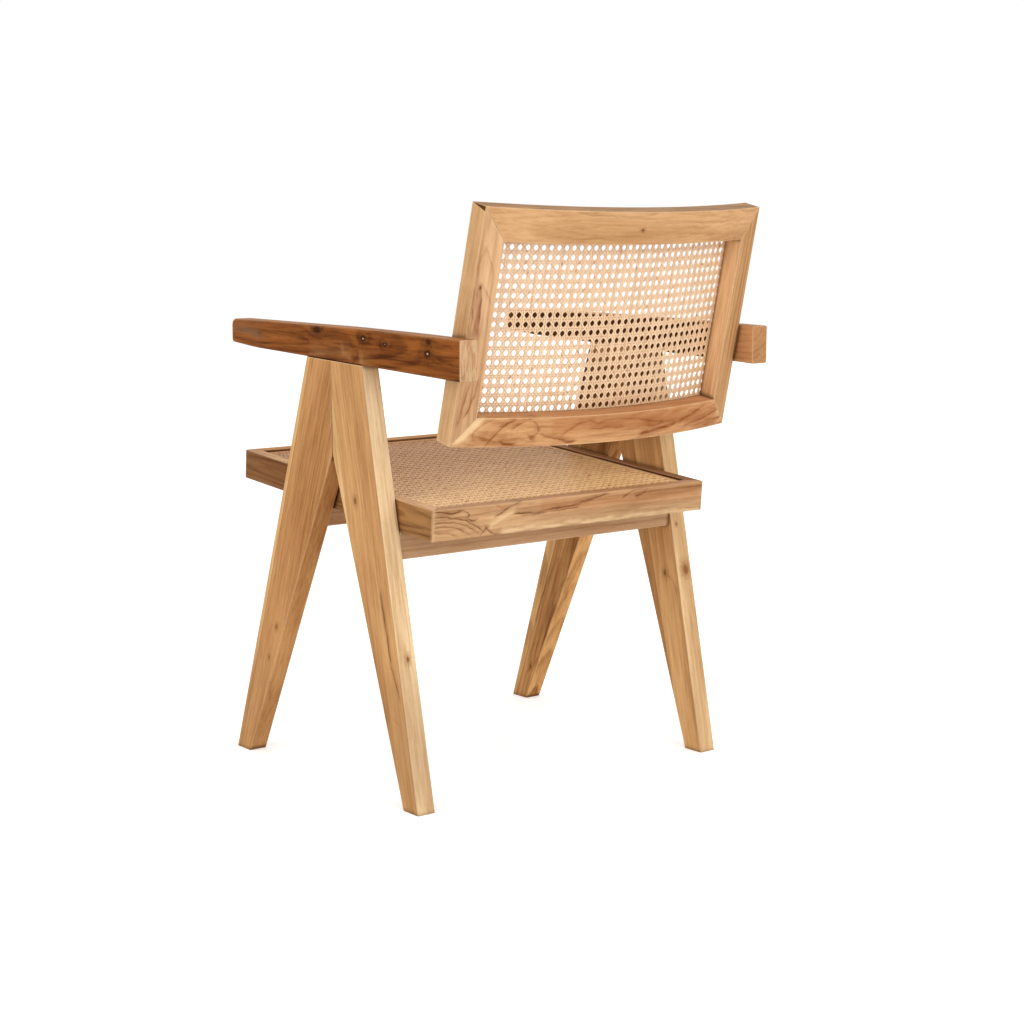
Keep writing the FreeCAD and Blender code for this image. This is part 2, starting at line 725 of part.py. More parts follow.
def back_frame():
    """Both rails and both stiles, rebated and grooved for the cane, and the reed."""
    blank = bent_band("back_blank", BACK_FRONT_RADIUS, "{back_radius}")
    clear = f"({BACK_FRONT_RADIUS} - {{cut_clear}})"
    rebate_band = bent_band("rebate_band", clear, f"({BACK_FRONT_RADIUS} + {{back_rebate}})")
    groove_band = bent_band("groove_band", clear, f"({BACK_FRONT_RADIUS} + {{back_groove}})")
    reed_band = bent_band("reed_band", BACK_FRONT_RADIUS, f"({BACK_FRONT_RADIUS} + {{back_groove}})")
    border = opening_ring("{back_border}")
    outer_border = opening_ring("({back_border} + {spline_width})")
    rebate = boolean("Part::Common", "rebate_tool", rebate_band, front_prism("rebate_prism", border))
    groove = boolean("Part::Common", "groove_tool", groove_band,
                     front_prism("groove_prism", outer_border, border))
    corners = {(side, which): tenon_solid(f"{side}_{which}_tenon", back_corner_tenon(sign, which))
               for side, sign in SIDES for which in RAIL_EDGES}
    ends = {side: tenon_solid(f"{side}_stile_tenon", back_arm_tenon(sign)) for side, sign in SIDES}
    for which in RAIL_EDGES:
        prism = front_prism(f"{which}_prism", rail_corners(which))
        raw = boolean("Part::Common", f"{which}_raw", blank, prism)
        cut_back_piece(f"back_{which}_rail", raw, rebate, groove,
                       [corners["left", which], corners["right", which]])
    for side, sign in SIDES:
        bent = boolean("Part::Common", f"{side}_stile_bent", blank, stile_blank(side, sign))
        raw = boolean("Part::Cut", f"{side}_stile_raw", bent, mitre_waste(side, sign))
        cut_back_piece(f"back_{side}_stile", raw, rebate, groove,
                       [corners[side, "lower"], corners[side, "upper"], ends[side]])
    reed = boolean("Part::Common", "back_spline", reed_band,
                   front_prism("reed_prism", outer_border, border))
    back_place(reed)
    name_node(reed, "back_spline")
    back_place(group("back_corner_tenons", list(corners.values())))
    back_place(group("back_arm_tenons", list(ends.values())))


def cut_back_piece(name, raw, rebate, groove, tenons):
    """Cut the cane's rebate, the reed's groove and the mortises."""
    tools = doc.addObject("Part::Compound", f"{name}_tools")
    tools.Links = [rebate, groove] + tenons
    piece = boolean("Part::Cut", name, raw, tools)
    back_place(piece)
    name_node(piece, name)


def back_cane():
    """Woven back panel as a bent net in the front rebate."""
    grow = value("{back_border}")
    low_z = value(LOW_EDGE) - grow
    high_z = value(HIGH_EDGE) + grow
    half = value(opening_ring("{back_border}")[2][0])
    face = holed_face(Vector(-half, low_z, 0), Vector(half, high_z, 0), BACK_GAPS)
    face.rotate(Vector(), Vector(1, 0, 0), 90)
    reach = value("{back_reach}")
    face.translate(Vector(0, reach, 0))
    prism = face.extrude(Vector(0, -2 * reach, 0))
    floor = value(f"{BACK_FRONT_RADIUS} + {{back_rebate}}")
    centre = Vector(0, value(BACK_CENTRE), 0)
    height = value("{back_length}")
    shell = Part.makeCylinder(floor, height, centre)
    shell = shell.cut(Part.makeCylinder(floor - value("{back_cane_thick}"), height, centre))
    panel = doc.addObject("Part::Feature", "back_cane")
    panel.Shape = shell.common(prism)
    back_place(panel)
    name_node(panel, "back_cane")


# Hidden joinery: loose tenons and screws, each kind in one node

def hidden_joinery():
    kinds = {"leg_tenons": [], "armrest_tenons": [], "stretcher_tenons": [], "seat_screws": []}
    for side, sign in SIDES:
        kinds["leg_tenons"].append(tenon_solid(f"{side}_leg_tenon", leg_tenon(sign)))
        for which in STRETCHERS:
            name = f"{side}_{which}"
            rail = stretcher_tenon(sign, which)
            kinds["armrest_tenons"].append(tenon_solid(f"{name}_arm_tenon", arm_tenon(sign, which)))
            kinds["stretcher_tenons"].append(tenon_solid(f"{name}_stretcher_tenon", rail))
            kinds["seat_screws"].append(screw(f"{name}_screw", screw_place(sign, which)))
    for name, solids in kinds.items():
        group(name, solids)
    corners = []
    for corner in range(len(SEAT_RAILS)):
        corners.append(tenon_solid(f"seat_corner_{corner}", seat_corner_tenon(corner)))
    seat_place(group("seat_corner_tenons", corners))


def screw(name, place):
    """A countersunk wood screw, head down."""
    head = doc.addObject("Part::Cone", f"{name}_head")
    set_head(head, place)
    shank = rod_solid(f"{name}_shank", place, Vector(0, 0, 1), "{screw_radius}", "{screw_length}")
    return boolean("Part::Fuse", name, shank, head)


for side_name, side_sign in SIDES:
    for leg_kind in ("front", "rear"):
        leg(side_name, side_sign, leg_kind)
    arm(side_name, side_sign)
for stretcher_kind in STRETCHERS:
    stretcher(stretcher_kind)
for rail_index in range(len(SEAT_RAILS)):
    seat_rail(rail_index)
seat_spline()
seat_cane()
back_frame()
back_cane()
hidden_joinery()
doc.recompute()

# Every object has to be sound before anything is written
faults = [thing.Name for thing in doc.Objects if {"Invalid", "Error"} & set(thing.State)]
faults += [node.Label for node in nodes if node.Shape.isNull() or not node.Shape.isValid()]
if faults:
    raise RuntimeError(f"unsound objects: {faults}")

os.makedirs("parts", exist_ok=True)
whole = FreeCAD.BoundBox()
for node in nodes:
    node.Shape.exportStep(f"parts/{node.Label}.step")
    whole.add(node.Shape.optimalBoundingBox(False))
    print(f"{node.Label}: {len(node.Shape.Solids)} solids, {node.Shape.Volume / 1000:.1f} cm3")
print(f"{len(nodes)} nodes, box {whole}")
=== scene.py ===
# %% [markdown]
# A caned armchair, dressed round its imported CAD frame.
# The real chair is oiled teak with a seat and a back of woven rattan cane. The CAD model has every board at its true
# size, so this lesson keeps those shapes and adds what CAD leaves out: eased edges, grain, knots, and a real weave.

import json
import math
from collections import namedtuple
from contextlib import contextmanager

import bpy
from mathutils import Matrix, Vector

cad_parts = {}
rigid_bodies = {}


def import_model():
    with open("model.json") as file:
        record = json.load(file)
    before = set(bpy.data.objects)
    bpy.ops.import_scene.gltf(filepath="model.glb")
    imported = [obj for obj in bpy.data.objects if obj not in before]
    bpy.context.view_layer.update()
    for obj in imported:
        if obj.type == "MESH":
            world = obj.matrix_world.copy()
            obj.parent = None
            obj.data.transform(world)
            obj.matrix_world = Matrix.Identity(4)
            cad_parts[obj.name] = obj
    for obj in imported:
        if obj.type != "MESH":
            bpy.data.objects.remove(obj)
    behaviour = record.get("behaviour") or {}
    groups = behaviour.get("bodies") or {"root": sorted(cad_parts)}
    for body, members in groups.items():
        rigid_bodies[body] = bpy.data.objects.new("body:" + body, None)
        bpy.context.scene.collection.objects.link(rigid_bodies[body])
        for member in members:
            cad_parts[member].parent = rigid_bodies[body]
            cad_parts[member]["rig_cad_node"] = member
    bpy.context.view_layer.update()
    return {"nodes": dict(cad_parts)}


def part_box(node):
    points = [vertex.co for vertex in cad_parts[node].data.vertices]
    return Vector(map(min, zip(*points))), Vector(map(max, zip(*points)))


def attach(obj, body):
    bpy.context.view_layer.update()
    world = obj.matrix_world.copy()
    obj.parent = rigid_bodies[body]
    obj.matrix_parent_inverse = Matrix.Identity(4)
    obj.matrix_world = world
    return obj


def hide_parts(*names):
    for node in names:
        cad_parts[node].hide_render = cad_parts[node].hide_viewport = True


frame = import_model()
nodes = frame["nodes"]
MM = 0.001

# %% [markdown]
# The camera stands behind the chair, on its left, a little above the seat. Its place and lens were worked out from
# the chair's own corners in the photograph, so they are written as they came out and nothing is aimed by eye.

# %% Camera
CAMERA_PLACE = (1.70684, 2.21189, 0.77637)
CAMERA_TURN = (math.radians(81.46), 0.0, math.radians(141.99))
CAMERA_LENS = 69.70
CAMERA_SENSOR = 36.0

bpy.ops.object.select_all(action="DESELECT")
bpy.ops.object.camera_add(location=CAMERA_PLACE, rotation=CAMERA_TURN)
camera = bpy.context.object
camera.data.lens = CAMERA_LENS
camera.data.sensor_width = CAMERA_SENSOR
bpy.context.scene.camera = camera
print("camera:", camera.name, "lens", camera.data.lens)

# %% [markdown]
# Every material below is a small graph of nodes. To keep the graphs readable, an output socket is wrapped in a Wire. It
# can be added, multiplied and eased like a number, and each step adds one node to its graph. Short helpers add any
# other node, blend two colours, and start a node group with named sockets.

# %% Helpers for node graphs
COLOR_MIX_SOCKETS = (0, 6, 7)
COLOR_MIX_RESULT = 2
WHITE = (1.0, 1.0, 1.0, 1.0)
FINE_RELIEF = 0.0002


class Wire:
    """An output socket that takes part in arithmetic, on values or on vectors."""

    def __init__(self, socket):
        self.socket = socket
        self.tree = socket.id_data

    def step(self, operation, other=None):
        """One step of arithmetic, alone or with a wire or a plain value."""
        if self.socket.type == "VALUE":
            return put(self.tree, "Math", self, other, operation=operation)["Value"]
        return put(self.tree, "VectorMath", self, other, operation=operation)["Vector"]

    def __add__(self, other):
        return self.step("ADD", other)

    def __sub__(self, other):
        return self.step("SUBTRACT", other)

    def __rsub__(self, other):
        return self * -1.0 + other

    def __mul__(self, other):
        return self.step("MULTIPLY", other)

    def __truediv__(self, other):
        return self.step("DIVIDE", other)

    def __abs__(self):
        return self.step("ABSOLUTE")

    def clamped(self):
        """The value, held between 0 and 1."""
        return put(self.tree, "Clamp", self)["Result"]

    def ramp(self, low, high, to_low=0.0, to_high=1.0):
        """Eases the value from one range to another and holds it there."""
        return put(self.tree, "MapRange", self, low, high, to_low, to_high, interpolation_type="SMOOTHSTEP")["Result"]

    def split(self):
        """The X, Y and Z of a vector."""
        return put(self.tree, "SeparateXYZ", self)

    def measure(self, operation, other=None):
        """The value that comes out of a step on vectors, such as a length."""
        return put(self.tree, "VectorMath", self, other, operation=operation)["Value"]

    def noise(self, scale=None, shift=None, detail=2.0):
        """Soft noise over this place, stretched by the scale and moved by the shift."""
        place = self * scale if scale else self
        place = place + shift if shift else place
        return put(self.tree, "TexNoise", place, Scale=1.0, Detail=detail)


def put(tree, kind, *feeds, **options):
    """Adds a node and returns its outputs as wires. Feeds go to its inputs in order, options with a capital to the
    inputs of that name, and the other options are settings of the node itself."""
    node = tree.nodes.new("ShaderNode" + kind)
    named = {label: options.pop(label) for label in list(options) if label[0].isupper()}
    for option, value in options.items():
        setattr(node, option, value)
    for feed, socket in zip(feeds, node.inputs):
        connect(feed, socket)
    for label, feed in named.items():
        connect(feed, node.inputs[label])
    return wires(node)


def wires(node):
    """The outputs of a node by name."""
    return {socket.name: Wire(socket) for socket in node.outputs}


def connect(feed, socket):
    """Links a wire to an input, or sets a plain value there; None leaves the input as it is."""
    if isinstance(feed, Wire):
        feed.tree.links.new(feed.socket, socket)
    elif feed is not None:
        socket.default_value = feed


def blend(share, low, high, mode="MIX"):
    """Blends two colours by a share from 0 to 1; at least one of the three is a wire."""
    feeds = (share, low, high)
    tree = next(feed.tree for feed in feeds if isinstance(feed, Wire))
    node = tree.nodes.new("ShaderNodeMix")
    node.data_type = "RGBA"
    node.blend_type = mode
    for feed, index in zip(feeds, COLOR_MIX_SOCKETS):
        connect(feed, node.inputs[index])
    return Wire(node.outputs[COLOR_MIX_RESULT])


def scaled(tree, vector, factor):
    """A vector, made longer or shorter by a value."""
    return put(tree, "VectorMath", vector, operation="SCALE", Scale=factor)["Vector"]


def new_group(name, takes, gives):
    """A node group with named sockets, listed by kind; returns its tree, what comes in and what goes out."""
    tree = bpy.data.node_groups.new(name, "ShaderNodeTree")
    for way, sockets in (("INPUT", takes), ("OUTPUT", gives)):
        for kind, labels in sockets.items():
            for label in labels.split():
                tree.interface.new_socket(label, in_out=way, socket_type="NodeSocket" + kind)
    return tree, wires(tree.nodes.new("NodeGroupInput")), tree.nodes.new("NodeGroupOutput").inputs


def paint(red, green, blue):
    """A colour as a screen shows it, 0 to 255, made linear for the shaders."""
    linear = []
    for part in (red, green, blue):
        share = part / 255
        linear.append(share / 12.92 if share <= 0.04045 else ((share + 0.055) / 1.055) ** 2.4)
    return (*linear, 1.0)


def new_material(name):
    """An empty node material with its Principled shader; returns the material, its tree and the shader."""
    material = bpy.data.materials.new(name)
    material.use_nodes = True
    return material, material.node_tree, material.node_tree.nodes["Principled BSDF"]


def surface(tree):
    """The place on the surface, in the chair's own frame."""
    return put(tree, "TexCoord")["Object"]


def finish_shader(shader, color, roughness, height=None, strength=1.0, depth=FINE_RELIEF):
    """Links colour, roughness and relief to a shader."""
    connect(color, shader.inputs["Base Color"])
    connect(roughness, shader.inputs["Roughness"])
    if height:
        relief = put(height.tree, "Bump", Strength=strength, Distance=depth, Height=height)["Normal"]
        connect(relief, shader.inputs["Normal"])


print("helpers ready")

# %% [markdown]
# The studio is a plain white sweep. A large lamp stands behind the chair, on the camera's right, a weaker one on its
# left, and a sky that is dim at the horizon and bright overhead fills in, as a soft box over the chair would.
# The floor and the sky are seen as pure white, but only by camera, glossy and transmission rays, so that the white is
# no extra light on the chair, and the floor keeps a soft shadow.

# %% Studio
SKY_HORIZON = 0.48
SKY_OVERHEAD = 1.04
SKY_RISE = (0.1, 0.8)
FLOOR_SIZE = 16.0
FLOOR_DROP = 0.0002
FLOOR_TONE = (0.86, 0.86, 0.86, 1.0)
FLOOR_ROUGHNESS = 0.9
FLOOR_LIFT = 0.4
KEY_PLACE = Vector((-0.2, 3.0, 1.35))
KEY_POWER = 32.8
KEY_SIZE = 1.6
FILL_PLACE = Vector((2.9, 0.5, 1.2))
FILL_POWER = 15.0
FILL_SIZE = 1.8
LAMP_TARGET = Vector((0.0, 0.0, 0.4))


def seen_directly(tree):
    """1 for the rays that show a background, 0 for the rays that light the chair."""
    path = put(tree, "LightPath")
    seen = path["Is Camera Ray"].step("MAXIMUM", path["Is Glossy Ray"])
    return seen.step("MAXIMUM", path["Is Transmission Ray"])


def make_sky():
    world = bpy.data.worlds.new("white_sweep")
    bpy.context.scene.world = world
    world.use_nodes = True
    tree = world.node_tree
    sky = tree.nodes["Background"].inputs
    sky["Color"].default_value = WHITE
    rise = put(tree, "TexCoord")["Generated"].split()["Z"]
    glow = rise.ramp(*SKY_RISE, SKY_HORIZON, SKY_OVERHEAD)
    connect(seen_directly(tree) * (1.0 - glow) + glow, sky["Strength"])


def make_floor():
    bpy.ops.object.select_all(action="DESELECT")
    bpy.ops.mesh.primitive_plane_add(size=FLOOR_SIZE, location=(0, 0, -FLOOR_DROP))
    floor = bpy.context.object
    floor.name = "studio_floor"
    material, tree, shader = new_material("studio_floor")
    shader.inputs["Base Color"].default_value = FLOOR_TONE
    shader.inputs["Roughness"].default_value = FLOOR_ROUGHNESS
    shader.inputs["Emission Color"].default_value = WHITE
    connect(seen_directly(tree) * FLOOR_LIFT, shader.inputs["Emission Strength"])
    floor.data.materials.append(material)


def add_lamp(name, place, power, size):
    bpy.ops.object.select_all(action="DESELECT")
    turn = (LAMP_TARGET - place).to_track_quat("-Z", "Y").to_euler()
    bpy.ops.object.light_add(type="AREA", location=place, rotation=turn)
    lamp = bpy.context.object
    lamp.name = name
    lamp.data.energy = power
    lamp.data.size = size


make_sky()
make_floor()
add_lamp("key_lamp", KEY_PLACE, KEY_POWER, KEY_SIZE)
add_lamp("fill_lamp", FILL_PLACE, FILL_POWER, FILL_SIZE)
bpy.context.scene.view_settings.view_transform = "Standard"
print("studio: sky, floor and two lamps")

# %% [markdown]
# Teak shows the tree it was cut from. Growth rings are long cones round a pith that lies somewhere outside the board,
# and the saw cuts through them: where the pith runs parallel to the face the lines are straight, where it leans the
# rings come out as pointed arches. So the grain is computed in the board's own space, X along the grain, Y across the
# face and Z through the board, as the distance from a leaning pith line. Because it is a solid pattern, faces, edges
# and end grain agree at every corner, as they do in real wood. Bands, streaks, fibres and pores are noise on top,
# stretched along the grain and shifted by the board's seed, so that no two boards repeat.

# %% Teak grain
WANDER_SCALE = (1.7, 11.0, 11.0)
UNEVEN_SCALE = (1.1, 24.0, 24.0)
UNEVEN_RINGS = 1.4
RING_START, RING_PEAK = 0.3, 0.84
RING_LEAST, RING_MOOD = 0.15, 0.85
FIBRE_SCALE = (45.0, 1500.0, 1500.0)
FIBRE_DEPTH = 0.3
PORE_SCALE = (85.0, 2400.0, 2400.0)
PORE_EDGE = (0.6, 0.72)
PORE_DEPTH = 0.2
GRAIN_GLOSS = (0.14, 0.44)
GRAIN_RELIEF = (-0.7, 0.5, 0.2)
SEED_STEP = (3.1, 1.7, 2.3)
GRAIN_LAYERS = (((3.5, 45.0, 45.0), 1.0, (0.3, 0.7), 0.34), ((16.0, 280.0, 280.0), 2.0, (0.35, 0.75), 0.3),
                ((2.4, 17.0, 17.0), 1.0, (0.3, 0.7), 0.26))


def ring_phase(take, shift):
    """How many growth rings lie between the pith and this point."""
    board = take["Board"]
    wander = board.noise(WANDER_SCALE, shift)["Color"] - (0.5, 0.5, 0.5)
    place = (board + scaled(board.tree, wander, take["Wander"])).split()
    pith = take["Pith"].split()
    across = place["Y"] - pith["Y"]
    through = place["Z"] - (pith["X"] * place["X"] + pith["Z"])
    radius = (across * across + through * through).step("SQRT")
    return (radius + take["Swirl"]) / take["Ring"] + board.noise(UNEVEN_SCALE, shift)["Fac"] * UNEVEN_RINGS


def make_teak_grain():
    tree, take, give = new_group(
        "teak_grain", {"Vector": "Board Pith", "Color": "Pale Deep", "Float": "Ring Wander Figure Swirl Seed"},
        {"Color": "Color", "Float": "Roughness Height"})
    board = take["Board"]
    shift = scaled(tree, SEED_STEP, take["Seed"])
    phase = ring_phase(take, shift)
    part = phase.step("FRACT")
    late = part.ramp(RING_START, RING_PEAK) * part.ramp(1.0, RING_PEAK)
    mood = put(tree, "TexWhiteNoise", noise_dimensions="1D", W=phase.step("FLOOR") + take["Seed"])["Value"]
    rings = late * (mood * RING_MOOD + RING_LEAST)
    depth = rings * take["Figure"]
    for scale, detail, edge, weight in GRAIN_LAYERS:
        depth = depth + board.noise(scale, shift, detail)["Fac"].ramp(*edge) * weight
    fibre = board.noise(FIBRE_SCALE, shift, 1.0)["Fac"]
    pores = board.noise(PORE_SCALE, shift, 1.0)["Fac"].ramp(*PORE_EDGE)
    depth = (depth + (fibre - 0.5) * FIBRE_DEPTH + pores * PORE_DEPTH).clamped()
    connect(blend(depth, take["Pale"], take["Deep"]), give["Color"])
    connect(depth * GRAIN_GLOSS[0] + GRAIN_GLOSS[1], give["Roughness"])
    sunk, raised, ringed = GRAIN_RELIEF
    connect(pores * sunk + fibre * raised + rings * ringed, give["Height"])
    return tree


TEAK_GRAIN = make_teak_grain()
print("teak grain group:", len(TEAK_GRAIN.nodes), "nodes")

# %% [markdown]
# Four things happen to a teak board besides its grain. A knot is where a branch left the trunk: a dark heart that the
# rings flow round, with a pale speck at its centre that is partly a painted glint. Some growth lines stand out far
# darker than the rest, and bands of sapwood far paler; each is drawn along a parabola, sharp on one side and soft on
# the other. A leg blank is often glued up from two boards, which leaves a straight line where the colour jumps. And
# every edge is painted a little paler, as hands and sandpaper rub it and as a painted highlight where it catches the
# light, while the corners are painted darker, as grime and as painted shade. Each one is a group that puts out masks.

# %% Knots, growth lines, glue lines, wear, and painted highlight and shade
KNOT_STRETCH = (0.62, 1.0, 1.0)
KNOT_RAGGED_SCALE = (300.0, 420.0, 420.0)
KNOT_RAGGED = (1.1, 0.45)
# The speck is a pale knot centre, partly a painted glint.
KNOT_EDGES = {"Heart": (1.25, 0.6), "Halo": (3.4, 0.7), "Speck": (0.3, 0.12)}
KNOT_FALL = -0.16
KNOT_PUSH = 2.2
LINE_CORE = ((-0.45, 0.0), (1.2, 0.1))
LINE_SOFT = ((-1.2, 0.0), (3.2, 0.2))
LINE_HALO = 0.4
LINE_FADE = 0.006
LINE_FADE_SHARE = 0.25
LINE_WOBBLE = 0.007
WOBBLE_SCALE = (50.0, 95.0, 95.0)
BREAK_SCALE = (30.0, 190.0, 190.0)
BREAK_EDGE = (0.3, 0.62)
BREAK_BY_WIDTH = (0.008, 0.02, 0.45, 1.0)
SEAM_SHARP = 0.0003
SEAM_REACH = 0.0007
# The edges are painted paler, as wear and as a painted highlight; the corners darker, as grime and as painted shade.
EDGE_REACH = 0.003
EDGE_SAMPLES = 4
EDGE_RUBBED_AND_HIGHLIT = (0.995, 0.86)
GRIME_AND_SHADE_REACH = 0.008
GRIME_AND_SHADE_SAMPLES = 6
GRIME_AND_SHADE_EDGE = (0.93, 0.45)


def make_knot():
    tree, take, give = new_group("teak_knot", {"Vector": "Board Centre", "Float": "Size"},
                                 {"Float": "Heart Halo Speck Push"})
    away = (take["Board"] - take["Centre"]) * KNOT_STRETCH
    ragged = take["Board"].noise(KNOT_RAGGED_SCALE)["Fac"] * KNOT_RAGGED[0] + KNOT_RAGGED[1]
    reach = away.measure("LENGTH") / take["Size"] * ragged
    for label, edge in KNOT_EDGES.items():
        connect(reach.ramp(*edge), give[label])
    fall = (reach * reach * KNOT_FALL).step("EXPONENT")
    connect(fall * (take["Size"] * KNOT_PUSH), give["Push"])
    return tree


def make_growth_line():
    tree, take, give = new_group("growth_line", {"Vector": "Board Bend Span", "Float": "Along Across"},
                                 {"Float": "Line"})
    along, bend, span = take["Along"], take["Bend"].split(), take["Span"].split()
    width = span["Z"]
    rise = (bend["Z"] * along + bend["Y"]) * along + bend["X"]
    wobble = (take["Board"].noise(WOBBLE_SCALE)["Fac"] - 0.5) * LINE_WOBBLE
    reach = (take["Across"] - rise + wobble) / width
    core, halo = (reach.ramp(*sharp) * reach.ramp(*soft) for sharp, soft in (LINE_CORE, LINE_SOFT))
    fade = (width * LINE_FADE_SHARE).step("MAXIMUM", LINE_FADE)
    head = ((along - span["X"]) / fade).ramp(-1.0, 1.0)
    tail = ((span["Y"] - along) / fade).ramp(-1.0, 1.0)
    broken = take["Board"].noise(BREAK_SCALE)["Fac"].ramp(*BREAK_EDGE, width.ramp(*BREAK_BY_WIDTH), 1.0)
    connect(core.step("MAXIMUM", halo * LINE_HALO) * broken * (head * tail), give["Line"])
    return tree


def make_glue_line():
    tree, take, give = new_group("glue_line", {"Vector": "Board", "Float": "Edge Lean Side"}, {"Float": "Strip Seam"})
    place = take["Board"].split()
    past = (place["Y"] - (take["Lean"] * place["X"] + take["Edge"])) * take["Side"]
    connect(past.ramp(-SEAM_SHARP, SEAM_SHARP), give["Strip"])
    connect(abs(past).ramp(SEAM_REACH, 0.0), give["Seam"])
    return tree


# Masks for paler edges, as wear and a painted highlight, and darker corners, as grime and painted shade.
def make_wear_and_painted_light():
    tree, _, give = new_group("wear_and_painted_light", {}, {"Float": "Rubbed Grime"})
    rounded = put(tree, "Bevel", EDGE_REACH, samples=EDGE_SAMPLES)["Normal"]
    plain = put(tree, "NewGeometry")["Normal"]
    connect(rounded.measure("DOT_PRODUCT", plain).ramp(*EDGE_RUBBED_AND_HIGHLIT), give["Rubbed"])
    corner = put(tree, "AmbientOcclusion", samples=GRIME_AND_SHADE_SAMPLES, Distance=GRIME_AND_SHADE_REACH)["AO"]
    connect(corner.ramp(*GRIME_AND_SHADE_EDGE), give["Grime"])
    return tree


KNOT = make_knot()
GROWTH_LINE = make_growth_line()
GLUE_LINE = make_glue_line()
WEAR_AND_PAINTED_LIGHT = make_wear_and_painted_light()
print("board groups:", KNOT.name, GROWTH_LINE.name, GLUE_LINE.name, WEAR_AND_PAINTED_LIGHT.name)

# %% [markdown]
# Now the boards. Each wooden piece is a copy of its CAD solid, because the shape is already right: the copy's loose
# triangles are merged, flat faces are joined up again, sharp edges get a small bevel where an edge width is given, and
# it stands for its node.

# %% Copies of the boards
BEVEL_ANGLE = math.radians(32)
SMOOTH_ANGLE = math.radians(34)
FLAT_ANGLE = math.radians(0.2)
BEVEL_STEPS = 3
MERGE_REACH = 1e-6


def pick(piece):
    """Selects one object alone and makes it the active one."""
    bpy.ops.object.select_all(action="DESELECT")
    piece.select_set(True)
    bpy.context.view_layer.objects.active = piece


@contextmanager
def editing():
    """Edit mode on the active mesh, with all of it selected."""
    bpy.ops.object.mode_set(mode="EDIT")
    bpy.ops.mesh.select_all(action="SELECT")
    yield
    bpy.ops.object.mode_set(mode="OBJECT")


def apply_modifier(piece, kind, **settings):
    """Adds a modifier to the active piece, sets it up and applies it."""
    modifier = piece.modifiers.new(kind, kind)
    for setting, value in settings.items():
        setattr(modifier, setting, value)
    bpy.ops.object.modifier_apply(modifier=modifier.name)


def copy_node(name, edge):
    """A merged copy of a CAD node, with its sharp edges eased when an edge width is given; it stands for the node."""
    pick(nodes[name])
    bpy.ops.object.duplicate()
    piece = bpy.context.object
    piece.name = name + "_board"
    del piece["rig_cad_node"]
    bpy.ops.mesh.customdata_custom_splitnormals_clear()
    with editing():
        bpy.ops.mesh.remove_doubles(threshold=MERGE_REACH)
        bpy.ops.mesh.dissolve_limited(angle_limit=FLAT_ANGLE)
    if edge:
        apply_modifier(piece, "BEVEL", width=edge, segments=BEVEL_STEPS, limit_method="ANGLE", angle_limit=BEVEL_ANGLE)
    bpy.ops.object.shade_smooth_by_angle(angle=SMOOTH_ANGLE)
    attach(piece, "root")
    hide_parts(name)
    return piece


def give_finish(piece, material):
    """One material for the whole piece."""
    piece.data.materials.clear()
    piece.data.materials.append(material)


print("boards are copied with edges of", BEVEL_STEPS, "steps")

# %% [markdown]
# A board's material places the grain group in the board's own space: a Mapping node set to Texture undoes the board's
# turn. Then the masks are painted over each other in this order: glued strips, knots, growth lines, seams, end grain,
# faces painted lighter and darker as painted light and shade, and at last the edges, paler as wear and as a painted
# highlight, and the corners, darker as grime and as painted shade.

# %% Teak for one board
STRIP_JUMP = (0.43, 0.052, 0.031)
KNOT_TONE = (104, 56, 26)
HALO_SHARE, HEART_SHARE = 0.4, 0.8
SEAM_TONE, SEAM_SHARE = paint(120, 76, 42), 0.5
# Tones of the edges, paler as wear and a painted highlight, and of the corners, darker as grime and painted shade.
EDGE_WEAR_AND_HIGHLIGHT_TONE, EDGE_WEAR_AND_HIGHLIGHT_SHARE = paint(246, 214, 170), 0.5
GRIME_AND_SHADE_TONE, GRIME_AND_SHADE_SHARE = paint(88, 50, 24), 0.75
# Pale knot centres, partly painted glints.
SPECK_AND_GLINT_TONE = paint(226, 190, 150)
END_TONE = (150, 98, 56)
FACE_EDGE = (0.75, 0.92)
UNEVEN_TINT = (16.0, 60.0, 420.0)
UNEVEN_EDGE = (0.35, 0.65)
GRAIN_BUMP = 0.00025
GRAIN_BUMP_STRENGTH = 0.5
TEAK_SHINE = 0.04


def board_space(name, along, across):
    """The turn of a board's own axes, and a function that brings a point of the chair, in millimetres, into them."""
    low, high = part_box(name)
    middle = (low + high) / 2
    along = Vector(along).normalized()
    through = along.cross(Vector(across)).normalized()
    turn = Matrix((along, through.cross(along), through)).transposed()

    def inside(point):
        return turn.transposed() @ (Vector(point) * MM - middle)
    return middle, turn.to_euler(), inside


def parabola(points):
    """Coefficients of the parabola through three points."""
    (a, u), (b, v), (c, w) = points
    bow = u / ((a - b) * (a - c)) + v / ((b - a) * (b - c)) + w / ((c - a) * (c - b))
    slope = (v - u) / (b - a) - bow * (a + b)
    return u - slope * a - bow * a * a, slope, bow


def growth_line(board, points, width):
    """The mask of a growth line through three points of the board, drawn along its longer side."""
    place = board.split()
    points = [(p.x, p.y) for p in points]
    along, across = place["X"], place["Y"]
    if abs(points[2][0] - points[0][0]) < abs(points[2][1] - points[0][1]):
        points = [(y, x) for x, y in points]
        along, across = across, along
    first, last = sorted((points[0][0], points[2][0]))
    return put(board.tree, "Group", node_tree=GROWTH_LINE, Board=board, Along=along, Across=across,
               Bend=parabola(points), Span=(first, last, width * MM))["Line"]


def facing(tree, direction):
    """1 on the faces that look in one direction, 0 on the others."""
    normal = put(tree, "NewGeometry")["Normal"]
    return normal.measure("DOT_PRODUCT", Vector(direction).normalized()).ramp(*FACE_EDGE)


